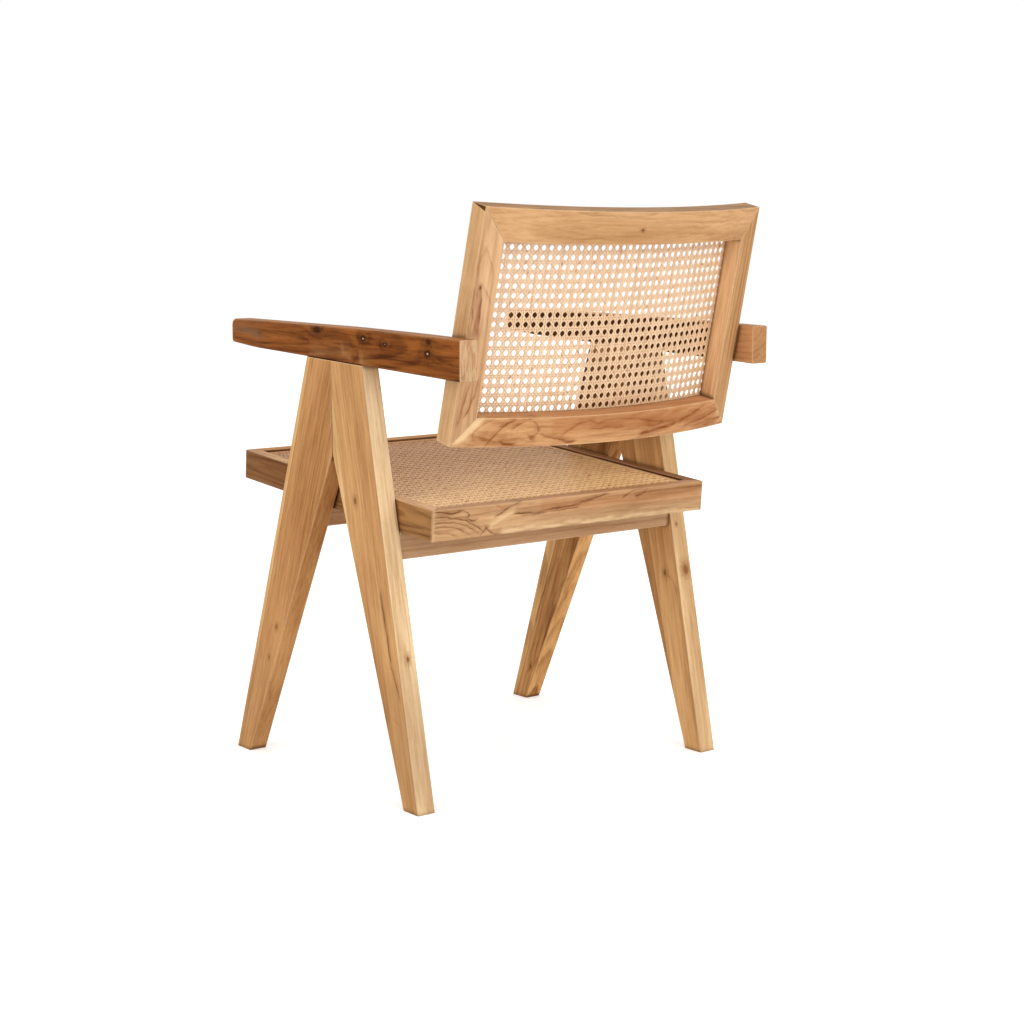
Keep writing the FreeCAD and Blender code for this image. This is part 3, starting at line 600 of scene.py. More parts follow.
def teak_material(name, lie, pale, deep, faces, ring, pith, figure, seed, wander=9.0, knots=(), knot_tone=KNOT_TONE,
                  lines=(), marks=()):
    """Oiled teak for one board. Knots are (place, radius, pale speck, partly a painted glint), lines are (point, point,
    side, tint), marks are (three points, width, depth, colour), growth lines and a few patches of painted light and
    shade, and may add the side they are on, all in millimetres, and faces are (direction, tone, share): the end grain's
    tone, and painted light and shade on tops and sides."""
    middle, turn, inside = board_space(name, *lie)
    material, tree, shader = new_material(name + "_teak")
    board = put(tree, "Mapping", surface(tree), middle, turn, vector_type="TEXTURE")["Vector"]
    grain_place, tint, swirl, seams, hearts = board, None, None, [], []
    for first, second, side, shade in lines:
        first, second = inside(first), inside(second)
        lean = (second.y - first.y) / (second.x - first.x)
        line = put(tree, "Group", node_tree=GLUE_LINE, Board=board, Edge=first.y - lean * first.x, Lean=lean, Side=side)
        grain_place = grain_place + scaled(tree, STRIP_JUMP, line["Strip"])
        tint = blend(line["Strip"], tint or WHITE, (*shade, 1.0))
        seams.append(line["Seam"])
    for place, size, speck in knots:
        knot = put(tree, "Group", node_tree=KNOT, Board=board, Centre=inside(place), Size=size * MM)
        swirl = swirl + knot["Push"] if swirl else knot["Push"]
        hearts.append((knot, speck))
    grain = put(tree, "Group", node_tree=TEAK_GRAIN, Board=grain_place, Pale=paint(*pale), Deep=paint(*deep),
                Pith=[pith[0], pith[1] * MM, pith[2] * MM], Ring=ring * MM, Wander=wander * MM, Figure=figure,
                Swirl=swirl, Seed=seed)
    color = blend(1.0, grain["Color"], tint, "MULTIPLY") if tint else grain["Color"]
    for knot, speck in hearts:
        for mask, share in (("Halo", HALO_SHARE), ("Heart", HEART_SHARE)):
            color = blend(knot[mask] * share, color, paint(*knot_tone))
        # A pale speck at the knot's centre, partly a painted glint.
        if speck:
            color = blend(knot["Speck"] * speck, color, SPECK_AND_GLINT_TONE)
    for points, width, depth, shade, *side in marks:
        line = growth_line(board, [inside(point) for point in points], width)
        for direction in side:
            line = line * facing(tree, direction)
        color = blend(line * depth, color, paint(*shade))
    for seam in seams:
        color = blend(seam * SEAM_SHARE, color, SEAM_TONE)
    # Face tints: the end grain's own tone, and painted light and shade on the tops and sides of some boards.
    for direction, tone, share in faces:
        uneven = board.noise(UNEVEN_TINT)["Fac"].ramp(*UNEVEN_EDGE, share / 2, share)
        color = blend(facing(tree, direction) * uneven, color, paint(*tone))
    # Edges painted paler as wear and a painted highlight; corners painted darker as grime and painted shade.
    wear_and_painted_light = put(tree, "Group", node_tree=WEAR_AND_PAINTED_LIGHT)
    color = blend(wear_and_painted_light["Rubbed"] * EDGE_WEAR_AND_HIGHLIGHT_SHARE, color, EDGE_WEAR_AND_HIGHLIGHT_TONE)
    color = blend(wear_and_painted_light["Grime"] * GRIME_AND_SHADE_SHARE, color, GRIME_AND_SHADE_TONE)
    finish_shader(shader, color, grain["Roughness"], grain["Height"], GRAIN_BUMP_STRENGTH, GRAIN_BUMP)
    shader.inputs["Specular IOR Level"].default_value = TEAK_SHINE
    return material


def dress(name, slot, lie, pale, deep, edge=0.0, end=(END_TONE, 0.5), faces=(), **grain):
    """One wooden piece: the copy of its node, eased where an edge is given, in its own teak, with its end grain in
    another tone. What is not named here goes on to the material."""
    piece = copy_node(name, edge)
    along = Vector(lie[0])
    faces = [(along, *end), (-along, *end), *faces]
    give_finish(piece, teak_material(name, lie, pale, deep, faces, **grain))
    print(name, len(piece.data.polygons), "faces")
    return piece


def side_marks(*rows):
    """Growth lines on a leg, an arm or a side rail: Y and Z of three points, then the rest of each mark."""
    return [(((0, a, b), (0, c, d), (0, e, f)), *rest) for a, b, c, d, e, f, *rest in rows]


def cross_marks(*rows):
    """Growth lines on a cross rail: X and Z of three points, then the rest of each mark."""
    return [(((a, 0, b), (c, 0, d), (e, 0, f)), *rest) for a, b, c, d, e, f, *rest in rows]


print("teak for boards ready")

# %% [markdown]
# The legs are the chair's signature: flat boards in two leaning pairs, like compasses. Their grain runs up the leg.
# The fitted lines mark where their blanks were glued up. The strips they bound are sapwood and heartwood, and along
# the legs' front edges also painted light and painted shade that stand for small facets, which are not modelled.
# The upper inner sides of the right legs are painted dark, as painted shade behind the back's cane. The knots sit
# where they are on the real legs.

# %% Legs and stretchers
LEFTWARD = (1.0, 0.0, 0.0)
BACKWARD = (0.0, 1.0, 0.0)
UPWARD = (0.0, 0.0, 1.0)
FRONT_LEG_LIE = ((0.0, 196.1, 590.0), BACKWARD)
REAR_LEG_LIE = ((0.0, -120.9, 590.0), BACKWARD)
CROSS_LIE = (LEFTWARD, UPWARD)
DARK = (104, 56, 26)
REDDISH = (168, 100, 54)
PALE = (240, 204, 156)
WHOLE_FACE = 200.0
# Strip tints: paler sapwood, with painted light on a front-edge facet; darker heartwood, with painted shade on one.
SAPWOOD_AND_FACET_LIGHT = (1.3, 1.5, 1.7)
HEARTWOOD_AND_FACET_SHADE = (0.76, 0.68, 0.6)
# Painted shade on the upper inner and rear sides of the right legs, behind the back's cane.
UPPER_LEG_SHADE = (66, 34, 10)
LEG_FOOT = (138, 94, 58)
LEG_KNOT = (132, 78, 40)
REAR_SEAM = ((0.0, 45.5, 590.0), (0.0, 167.5, 0.0), 1.0)

dress("left_front_leg", "teak_leg", FRONT_LEG_LIE, (218, 164, 106), (156, 98, 50), ring=8.0, pith=(0.02, 90.0, 10.0),
      figure=0.12, seed=1.0, knot_tone=LEG_KNOT,
      knots=[((270.0, -170.0, 197.0), 2.4, 0.5), ((270.0, -147.0, 181.0), 1.6, 0), ((271.0, -191.0, 149.0), 1.6, 0)],
      lines=[((265.0, -74.0, 590.0), (265.0, -273.0, 0.0), -1.0, SAPWOOD_AND_FACET_LIGHT)],
      marks=side_marks(
          (-151, 290, -172, 225, -215, 144, 9.0, 0.4, (172, 108, 54)),
          (-273, 0, -240, 90, -215, 160, WHOLE_FACE, 0.2, LEG_FOOT)))
dress("left_rear_leg", "teak_leg", REAR_LEG_LIE, (226, 174, 116), (162, 106, 56), ring=7.0, pith=(-0.03, 70.0, 25.0),
      figure=0.12, seed=2.0, knot_tone=LEG_KNOT,
      knots=[((266.8, 30.1, 399.8), 3.0, 0), ((251.0, 129.0, 200.0), 2.6, 0)],
      lines=[((265.0, -21.4, 535.6), (265.0, 21.0, 335.0), -1.0, SAPWOOD_AND_FACET_LIGHT), (*REAR_SEAM, (1.36, 1.85, 2.7))],
      marks=side_marks(
          (160, 0, 142, 90, 124, 175, WHOLE_FACE, 0.36, LEG_FOOT),
          (87, 287, 96, 247, 110, 195, 2.8, 0.9, DARK),
          (108, 191, 118, 173, 129, 145, 2.4, 0.7, DARK),
          (116, 118, 120, 116, 126, 113, 1.2, 0.7, DARK)))
dress("right_front_leg", "teak_leg", FRONT_LEG_LIE, (222, 166, 104), (140, 86, 42), ring=9.0, pith=(0.06, 30.0, 24.0),
      figure=0.4, seed=3.0, knot_tone=LEG_KNOT, knots=[((-244.0, -236.0, 54.0), 2.8, 0)],
      lines=[((-240.0, -180.0, 239.0), (-244.0, -274.0, 0.0), -1.0, SAPWOOD_AND_FACET_LIGHT),
             ((-244.0, -26.8, 456.0), (-244.0, -250.0, 0.0), 1.0, (1.3, 1.4, 1.5))],
      marks=side_marks(
          (-139, 455, -117, 520, -94, 590, WHOLE_FACE, 0.92, UPPER_LEG_SHADE, LEFTWARD),
          (-155, 240, -190, 165, -230, 60, 13.0, 0.4, (146, 88, 42)),
          (-165, 243, -196, 192, -221, 132, 2.4, 0.6, DARK),
          (-144, 212, -185, 161, -197, 121, 2.0, 0.45, DARK),
          (-177, 170, -197, 116, -230, 53, 2.0, 0.5, DARK),
          (-246, 56, -231, 84, -222, 63, 1.8, 0.55, DARK)))
dress("right_rear_leg", "teak_leg", REAR_LEG_LIE, (244, 194, 134), (178, 122, 68), ring=8.0, pith=(0.05, 24.0, 22.0),
      figure=0.15, seed=4.0, knot_tone=LEG_KNOT,
      knots=[((-240.0, 88.0, 255.0), 3.2, 0), ((-255.0, 116.0, 262.0), 5.0, 0), ((-248.1, 100.5, 328.0), 1.4, 0)],
      lines=[((-238.5, 64.0, 255.0), (-238.5, 99.0, 119.0), -1.0, HEARTWOOD_AND_FACET_SHADE), (*REAR_SEAM, (0.95, 1.1, 1.35))],
      marks=side_marks(
          (34, 455, 20, 520, 7, 590, WHOLE_FACE, 0.9, UPPER_LEG_SHADE, LEFTWARD),
          (34, 465, 20, 520, 7, 590, WHOLE_FACE, 0.75, UPPER_LEG_SHADE, BACKWARD),
          (90, 254, 107, 242, 114, 225, 4.0, 0.45, (160, 90, 45))))
for name, seed in (("front_stretcher", 5.0), ("rear_stretcher", 6.0)):
    dress(name, "teak_leg", CROSS_LIE, (212, 172, 132), (164, 118, 80), ring=7.0, pith=(0.01, 80.0, 10.0),
          figure=0.3, seed=seed)

# %% [markdown]
# The arms are single bars. The left one was cut from the heart of the tree, so it is far darker than the rest and
# carries a row of knots. Its rear end shows pale end grain.

# %% Arms
ARM_LIE = (BACKWARD, UPWARD)
ARM_DARK = (80, 38, 14)
ARM_PALE = (186, 132, 84)
ARM_EDGE = 2.0 * MM

# The left arm's top face is painted paler, a painted highlight.
dress("left_armrest", "teak_arm", ARM_LIE, (180, 106, 46), (82, 38, 10), ring=9.0, pith=(0.08, 10.0, 26.0),
      figure=0.4, wander=16.0, seed=7.0, end=((208, 170, 130), 0.95), knot_tone=(40, 16, 4), edge=ARM_EDGE,
      faces=[(UPWARD, (196, 150, 104), 0.5)],
      knots=[((264.5, -61.0, 623.0), 5.4, 0), ((264.5, 51.0, 616.0), 4.4, 0.9), ((264.5, 101.0, 611.0), 3.2, 0.9),
             ((264.5, 195.0, 604.0), 5.0, 0.9), ((264.5, 197.0, 619.0), 3.6, 0)],
      marks=side_marks(
          (-275, 613, -238, 610, -203, 605, 14.0, 0.7, (116, 88, 66)),
          (42, 598, 43, 590, 45, 580, 12.0, 0.6, ARM_PALE),
          (-2, 607, 0, 599, 4, 590, 12.0, 0.4, ARM_PALE),
          (-80, 587, -31, 592, 24, 588, 9.0, 0.4, ARM_PALE),
          (204, 604, 221, 598, 248, 591, 3.0, 0.8, ARM_DARK),
          (204, 596, 214, 593, 228, 589, 4.5, 0.7, ARM_DARK),
          (62, 616, 85, 612, 104, 609, 6.0, 0.5, ARM_DARK),
          (32, 600, 36, 591, 22, 582, 4.5, 0.7, ARM_DARK),
          (-216, 611, -108, 612, -7, 619, 9.0, 0.4, ARM_DARK),
          (71, 627, 162, 621, 248, 613, 8.0, 0.5, ARM_DARK),
          (107, 593, 179, 591, 255, 583, 6.0, 0.4, ARM_DARK)))
# The right arm's inner side is painted dark, as painted shade behind the back's cane, and lighter at its rear end.
dress("right_armrest", "teak_arm", ARM_LIE, (204, 148, 98), (122, 76, 42), ring=8.0, pith=(0.04, 40.0, 20.0),
      figure=0.45, wander=12.0, seed=8.0, end=((178, 130, 88), 0.75), edge=ARM_EDGE,
      marks=side_marks(
          (-305, 600, -50, 600, 205, 600, WHOLE_FACE, 0.95, (60, 28, 8), LEFTWARD),
          (225, 600, 268, 600, 310, 600, WHOLE_FACE, 0.5, (238, 176, 120), LEFTWARD)))

# %% [markdown]
# The seat is a mitred frame with a raised lip. Its side rails are browner, and the rear rail is cut close to a branch:
# dark lines part round it, with the arches of the growth rings on its left and a band of sapwood along the bottom.

# %% Seat frame
SEAT_TILT = math.radians(4.42)
SEAT_SIDE_LIE = ((0.0, math.cos(SEAT_TILT), -math.sin(SEAT_TILT)), UPWARD)
SEAT_UP = (0.0, math.sin(SEAT_TILT), math.cos(SEAT_TILT))
LIP_SHADE = (72, 32, 10)
FRAME_EDGE = 0.8 * MM

# The tops of the seat rails are painted lighter, the right one's darker, as painted light and shade; the lips' inner
# walls get painted shade.
dress("seat_rear_rail", "teak_seat", CROSS_LIE, (214, 168, 122), (128, 84, 48), ring=11.0, pith=(0.02, -60.0, 34.0),
      figure=0.35, seed=9.0, edge=FRAME_EDGE, faces=[(SEAT_UP, (204, 148, 100), 0.5)],
      knots=[((150.0, 173.0, 366.0), 2.2, 0)],
      marks=cross_marks(
          (147, 368, 126, 379, 104, 387, 9.0, 0.55, PALE),
          (125, 360, -37, 360, -234, 358, 9.0, 0.7, PALE),
          (60, 386, -80, 384, -230, 383, 15.0, 0.42, REDDISH),
          (92, 400, 113, 393, 136, 384, 2.6, 1.0, DARK),
          (140, 402, 129, 395, 120, 392, 2.6, 0.7, REDDISH),
          (105, 383, 24, 385, -57, 396, 2.6, 1.0, DARK),
          (92, 379, 44, 381, -6, 383, 2.0, 0.78, DARK),
          (-86, 389, -101, 395, -127, 398, 2.2, 0.98, DARK),
          (-131, 397, -126, 393, -108, 390, 2.2, 0.91, DARK),
          (237, 399, 219, 394, 192, 395, 2.8, 0.91, DARK),
          (190, 396, 180, 388, 184, 385, 2.2, 0.98, DARK),
          (184, 385, 177, 382, 167, 382, 2.2, 0.91, DARK),
          (238, 388, 194, 385, 157, 366, 2.0, 0.98, DARK),
          (237, 382, 197, 379, 163, 363, 2.2, 0.72, DARK),
          (237, 376, 205, 374, 177, 362, 2.2, 0.65, DARK),
          (237, 369, 218, 368, 199, 363, 2.2, 0.59, DARK),
          (147, 370, 153, 367, 158, 362, 2.0, 1.0, DARK),
          (153, 371, 143, 363, 130, 360, 2.0, 0.91, DARK)))
dress("seat_front_rail", "teak_seat", CROSS_LIE, (206, 154, 102), (140, 88, 46), ring=8.0, pith=(0.05, 20.0, 24.0),
      figure=0.45, seed=10.0, edge=FRAME_EDGE, faces=[(SEAT_UP, (224, 164, 104), 0.35), (BACKWARD, LIP_SHADE, 0.7)])
dress("seat_left_rail", "teak_seat", SEAT_SIDE_LIE, (180, 130, 80), (96, 58, 30), ring=7.0, pith=(0.07, 4.0, 26.0),
      figure=0.4, wander=14.0, seed=11.0, edge=FRAME_EDGE, faces=[(SEAT_UP, (236, 186, 138), 0.85)],
      marks=side_marks((-310, 405, -220, 400, -120, 392, 90.0, 0.52, (98, 48, 6))))
dress("seat_right_rail", "teak_seat", SEAT_SIDE_LIE, (176, 124, 76), (104, 62, 32), ring=8.0, pith=(0.03, 30.0, 20.0),
      figure=0.45, seed=12.0, edge=0.4 * MM, faces=[(SEAT_UP, (138, 92, 58), 0.8), (LEFTWARD, LIP_SHADE, 0.85)])

# %% [markdown]
# The back is the hardest piece of joinery: two bent rails, mitred to two stiles. The rails' grain follows the bend
# closely enough to read as straight lines, and the lower rail is strongly figured. Where a stile's outer side was
# trimmed flat, the saw went through the mitre and bared a small triangle of the upper rail's dark end grain.

# %% Back frame
RECLINE = math.radians(13.15)
BACK_ORIGIN = Vector((0.0, 204.2, 485.2)) * MM
BACK_PLACE = Matrix.Translation(BACK_ORIGIN) @ Matrix.Rotation(-RECLINE, 4, "X")
BACK_UP = (0.0, math.sin(RECLINE), math.cos(RECLINE))
STILE_LIE = (BACK_UP, LEFTWARD)
STRONG = (132, 68, 30)
BARED_SLOPE = 0.222
BARED_HEIGHT = 302.9 * MM
BARED_TONE = paint(96, 58, 28)
BARED_SIDE = (0.6, 0.8)


def bare_end_grain(piece):
    """Darkens a stile's flat side above the line where the trimming cut through the mitre."""
    tree = piece.data.materials[0].node_tree
    color = tree.nodes["Principled BSDF"].inputs["Base Color"]
    upward = BACK_PLACE.to_3x3() @ Vector((0.0, BARED_SLOPE, 1.0))
    above = surface(tree).measure("DOT_PRODUCT", upward) - (BARED_HEIGHT + upward.dot(BACK_ORIGIN))
    side = abs(put(tree, "NewGeometry")["Normal"].split()["X"]).ramp(*BARED_SIDE)
    bared = above.ramp(-SEAM_SHARP, SEAM_SHARP) * side
    connect(blend(bared, Wire(color.links[0].from_socket), BARED_TONE), color)


# The rails' tops are painted darker, as painted shade; the stiles' sides that face the chair's left are painted
# lighter, as painted light.
dress("back_upper_rail", "teak_back", CROSS_LIE, (214, 168, 120), (164, 114, 68), ring=7.0, pith=(0.012, 90.0, 15.0),
      figure=0.25, seed=13.0, edge=FRAME_EDGE, faces=[(BACK_UP, (132, 100, 72), 0.75)],
      knots=[((-1.0, 299.0, 756.0), 1.5, 0)],
      marks=cross_marks(
          (105, 778, 51, 773, -21, 776, 2.4, 0.35, DARK),
          (-16, 762, -105, 766, -189, 768, 2.6, 0.25, DARK),
          (-59, 781, -145, 783, -216, 781, 2.4, 0.3, DARK)))
dress("back_lower_rail", "teak_back", CROSS_LIE, (227, 174, 122), (148, 92, 52), ring=10.0, pith=(0.05, -30.0, 30.0),
      figure=0.3, wander=22.0, seed=14.0, edge=0.5 * MM, faces=[(BACK_UP, (170, 114, 72), 0.4)],
      marks=cross_marks(
          (96, 500, -60, 500, -215, 500, 26.0, 0.44, REDDISH),
          (230, 488, 214, 503, 198, 521, 20.0, 0.85, PALE),
          (183, 519, 203, 508, 204, 489, 4.5, 0.65, REDDISH),
          (152, 515, 173, 504, 188, 486, 3.4, 1.0, STRONG),
          (119, 518, 140, 513, 155, 504, 2.4, 0.75, STRONG),
          (132, 518, 146, 513, 152, 508, 2.2, 0.6, REDDISH),
          (126, 515, 119, 508, 115, 501, 4.0, 0.75, STRONG),
          (114, 501, 118, 496, 129, 495, 4.0, 0.95, STRONG),
          (130, 494, 126, 490, 120, 489, 2.8, 0.8, STRONG),
          (115, 496, 87, 488, 59, 483, 3.2, 0.9, STRONG),
          (92, 490, 75, 484, 56, 482, 2.4, 0.8, STRONG),
          (171, 489, 159, 485, 147, 486, 3.4, 1.0, STRONG),
          (79, 491, 64, 501, 24, 506, 3.2, 0.65, STRONG),
          (35, 498, -3, 498, -24, 498, 2.8, 0.75, STRONG),
          (24, 504, -21, 509, -63, 503, 2.8, 0.6, STRONG),
          (-63, 504, -84, 501, -98, 497, 3.2, 0.9, STRONG),
          (-98, 497, -86, 495, -68, 496, 3.0, 0.8, STRONG),
          (-134, 496, -157, 505, -184, 514, 3.6, 0.95, STRONG),
          (-145, 490, -180, 497, -218, 506, 3.2, 0.85, STRONG),
          (-166, 487, -199, 492, -234, 499, 2.8, 0.55, STRONG),
          (-112, 508, -129, 513, -148, 516, 7.0, 0.5, REDDISH),
          (-57, 484, -87, 488, -125, 494, 4.2, 1.0, STRONG)))
left_stile = dress(
    "back_left_stile", "teak_back", STILE_LIE, (224, 180, 136), (162, 114, 72), ring=8.0, pith=(0.06, 10.0, 24.0),
    figure=0.3, seed=15.0, edge=FRAME_EDGE, knots=[((225.9, 253.7, 686.8), 1.4, 0)],
    faces=[(LEFTWARD, (234, 186, 130), 0.6)],
    # The first mark is painted shade along the corner between the stile's side and its rear face.
    marks=[(((225, 252, 683), (223, 247, 657), (220, 240, 626)), 8.0, 0.75, (154, 102, 72)),
           (((232, 252, 686), (232, 245, 657), (230, 239, 628)), 2.2, 0.6, DARK),
           (((225, 255, 690), (222, 251, 670), (221, 245, 645)), 2.2, 0.7, DARK),
           (((222, 255, 690), (216, 255, 680), (210, 253, 667)), 1.8, 0.45, DARK),
           (((226, 265, 735), (231, 260, 719), (231, 255, 699)), 2.4, 0.4, STRONG),
           (((226, 265, 735), (215, 263, 715), (209, 258, 686)), 2.4, 0.35, STRONG),
           (((237, 256, 711), (236, 247, 670), (234, 238, 628)), 3.0, 0.35, STRONG),
           (((212, 230, 570), (215, 224, 547), (224, 216, 524)), 2.8, 0.8, STRONG),
           (((220, 227, 566), (227, 219, 538), (230, 212, 513)), 2.8, 0.65, STRONG)])
right_stile = dress(
    "back_right_stile", "teak_back", STILE_LIE, (214, 170, 120), (158, 108, 64), ring=8.0, pith=(0.02, 60.0, 12.0),
    figure=0.3, seed=16.0, edge=FRAME_EDGE, faces=[(LEFTWARD, (252, 202, 150), 0.8)])
for stile in (left_stile, right_stile):
    bare_end_grain(stile)

# %% [markdown]
# Cane is the skin of the rattan palm, split into flat glossy strands and woven six ways: pairs of uprights, pairs of
# rungs, and two sets of diagonals that cut the corners, which leaves the round-cornered holes. One strand is modelled
# over one mesh of the weave by extruding its section along the wave, then Array modifiers weave the sheet. Its UV map
# holds the strand's number and the place along it, and the arrays carry both on, so no two strands look the same.

# %% One strand of the weave
STRAND_CROWN = 0.72
STRAND_SPREAD = 0.8
PAIR_GAP = 2.85 * MM
STEPS = 4
STRAND_IDS = 128
Cane = namedtuple("Cane", "width thick straight_wave diagonal_wave")
SEAT_STOCK = Cane(2.65 * MM, 1.2 * MM, 0.7 * MM, 1.3 * MM)
BACK_STOCK = Cane(2.2 * MM, 0.62 * MM, 0.34 * MM, 0.68 * MM)


def strand_ring(turn, stock):
    """The four-sided section of a strand, standing across its path, as an open ring of edges."""
    bpy.ops.object.select_all(action="DESELECT")
    bpy.ops.mesh.primitive_plane_add(size=1.0)
    piece = bpy.context.object
    with editing():
        bpy.ops.mesh.delete(type="ONLY_FACE")
        bpy.ops.mesh.select_all(action="SELECT")
        bpy.ops.transform.resize(value=(stock.width, stock.thick, 1.0))
    for vertex in piece.data.vertices:
        crown = STRAND_CROWN if vertex.co.y > 0 else 1.0
        vertex.co = Vector((vertex.co.x * crown, 0.0, vertex.co.y))
    piece.data.transform(Matrix.Rotation(turn, 4, "Z"))
    return piece


def lay_strand(name, start, run, wave, turn, stock):
    """A strand over one mesh: the ring goes to its start and is extruded along the run, up and down with the wave."""
    piece = strand_ring(turn, stock)
    piece.name = name
    piece.data.transform(Matrix.Translation((start[0], start[1], wave(0.0))))
    with editing():
        for step in range(STEPS):
            rise = wave((step + 1) / STEPS) - wave(step / STEPS)
            bpy.ops.mesh.extrude_region_move(
                TRANSFORM_OT_translate={"value": (run[0] / STEPS, run[1] / STEPS, rise)})
        bpy.ops.mesh.select_all(action="SELECT")
        bpy.ops.mesh.normals_make_consistent(inside=False)
    return piece


def number_strand(piece, start, run, number, stock):
    """UV: across the strand plus its number, and the distance along it in metres."""
    ahead = Vector((run[0], run[1])).normalized()
    aside = Vector((ahead.y, -ahead.x))
    layer = piece.data.uv_layers.new(name="strand")
    for loop in piece.data.loops:
        spot = piece.data.vertices[loop.vertex_index].co.xy - Vector(start)
        across = 0.5 + STRAND_SPREAD * spot.dot(aside) / stock.width
        layer.data[loop.index].uv = ((number + across) / STRAND_IDS, spot.dot(ahead))


def weave(piece, columns, rows, pitch, across_uv, along_uv):
    """Two arrays carry a strand over the whole sheet, and its UV with it."""
    bpy.context.view_layer.objects.active = piece
    for count, step, shift in ((columns, (pitch[0], 0, 0), across_uv), (rows, (0, pitch[1], 0), along_uv)):
        apply_modifier(piece, "ARRAY", count=count, use_relative_offset=False, use_constant_offset=True,
                       constant_offset_displace=step, offset_u=shift[0], offset_v=shift[1])


def strand_set(kind, start, run, wave, turn, number, counts, pitch, uv_steps, stock):
    """All the strands of one kind: the first one laid and numbered, then woven over the sheet."""
    strand = lay_strand(kind, start, run, wave, turn, stock)
    number_strand(strand, start, run, number, stock)
    weave(strand, *counts, pitch, *uv_steps)
    return strand


def join(name, pieces):
    """Several objects as one mesh."""
    pick(pieces[0])
    for piece in pieces:
        piece.select_set(True)
    bpy.ops.object.join()
    joined = bpy.context.object
    joined.name = name
    return joined


print("strand:", STEPS, "steps over one mesh")

# %% [markdown]
# The sheet is woven a little too large, flat on the ground and centred on the origin. Cutting planes then trim it to
# the panel's outline, and the cut strands get closed ends. The straight strands and the diagonals stay two pieces. A
# back sheet is also stood up and bent to the rails' arc by a Simple Deform modifier, which bends to the radius of the
# sheet's width divided by the angle, and keeps lengths.

# %% Weaving and trimming a sheet
STRAND_SMOOTH = math.radians(60)


def swing(t):
    """The wave of a strand over one mesh, from 1 down to -1 and back."""
    return math.cos(2 * math.pi * t)


def straight_strands(name, columns, rows, pitch, stock):
    """The uprights and the rungs of a sheet."""
    made = []
    half_wave = stock.straight_wave / 2
    left, front = -columns * pitch[0] / 2, -rows * pitch[1] / 2
    next_strand = (2 / STRAND_IDS, 0.0)
    for side in (0, 1):
        offset = (side - 0.5) * PAIR_GAP
        made.append(strand_set(
            "upright", (left + offset, front), (0.0, pitch[1]), lambda t: -half_wave * (1 + swing(t)), 0.0, side,
            (columns + 1, rows), pitch, (next_strand, (0.0, pitch[1])), stock))
        made.append(strand_set(
            "rung", (left, front + offset), (pitch[0], 0.0), lambda t: half_wave * (1 + swing(t)), math.pi / 2, side,
            (columns, rows + 1), pitch, ((0.0, pitch[0]), next_strand), stock))
    return join(name, made)


def diagonal_strands(name, columns, rows, pitch, stock):
    """The two sets of diagonals, which cross on the pairs half way between the pairs' own crossings."""
    made = []
    left, front = -columns * pitch[0] / 2, -rows * pitch[1] / 2
    length = math.hypot(*pitch)
    slant = math.atan2(pitch[0], pitch[1])
    for side in (1, -1):
        start = (left if side > 0 else left + pitch[0], front + pitch[1] / 2)
        uv_steps = (side / STRAND_IDS, side * pitch[0] ** 2 / length), (-1 / STRAND_IDS, pitch[1] ** 2 / length)
        made.append(strand_set(
            "diagonal", start, (side * pitch[0], pitch[1]), lambda t: -side * stock.diagonal_wave * swing(t),
            -side * slant, 0, (columns, rows), pitch, uv_steps, stock))
    return join(name, made)


def even(length, pitch):
    """An even number of meshes that covers a length with some to spare."""
    return 2 * math.ceil(length / pitch / 2) + 2


def trim(piece, cuts):
    """Cuts the sheet along upright planes and closes the ends of the cut strands."""
    pick(piece)
    with editing():
        bpy.ops.mesh.remove_doubles(threshold=MERGE_REACH)
        for point, normal in cuts:
            bpy.ops.mesh.select_all(action="SELECT")
            bpy.ops.mesh.bisect(plane_co=(*point, 0.0), plane_no=(*normal, 0.0), clear_outer=True)
        bpy.ops.mesh.select_all(action="SELECT")
        bpy.ops.mesh.fill_holes(sides=2 * STEPS)
        bpy.ops.mesh.select_all(action="SELECT")
        bpy.ops.mesh.normals_make_consistent(inside=False)
    bpy.ops.object.shade_smooth_by_angle(angle=STRAND_SMOOTH)


def bend_to_arc(piece, radius):
    """Stands a flat sheet up and bends it about the arc's centre."""
    piece.data.transform(Matrix.Rotation(math.pi / 2, 4, "X"))
    pick(piece)
    width = max(v.co.x for v in piece.data.vertices) - min(v.co.x for v in piece.data.vertices)
    apply_modifier(piece, "SIMPLE_DEFORM", deform_method="BEND", deform_axis="Z", angle=-width / radius)


def settle(piece, place, node):
    """Puts a sheet into the chair, its place in its mesh, to stand for the plain net of the CAD model."""
    pick(piece)
    piece.matrix_world = place
    bpy.ops.object.transform_apply(location=True, rotation=True, scale=True)
    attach(piece, "root")
    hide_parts(node)
    print(piece.name, sum(len(p.vertices) - 2 for p in piece.data.polygons), "triangles")


def weave_panel(node, counts, pitch, stock, outline, finish, place, askew=Matrix(), radius=None):
    """Both pieces of a cane panel, from the weaving to their place in the chair."""
    for make, kind in ((straight_strands, "_straights"), (diagonal_strands, "_diagonals")):
        sheet = make(node + kind, *counts, pitch, stock)
        sheet.data.transform(askew)
        trim(sheet, outline)
        if radius:
            bend_to_arc(sheet, radius)
        sheet.data.materials.append(finish)
        settle(sheet, place, node)


print("weaving tools ready")

# %% [markdown]
# Cane keeps a satin skin on its outer side. Every strand differs a little in colour, is painted darker at its two
# edges, as painted shade in the gaps between strands, and carries the marks of the palm's joints, so the shader reads
# the strand's number from the UV map.

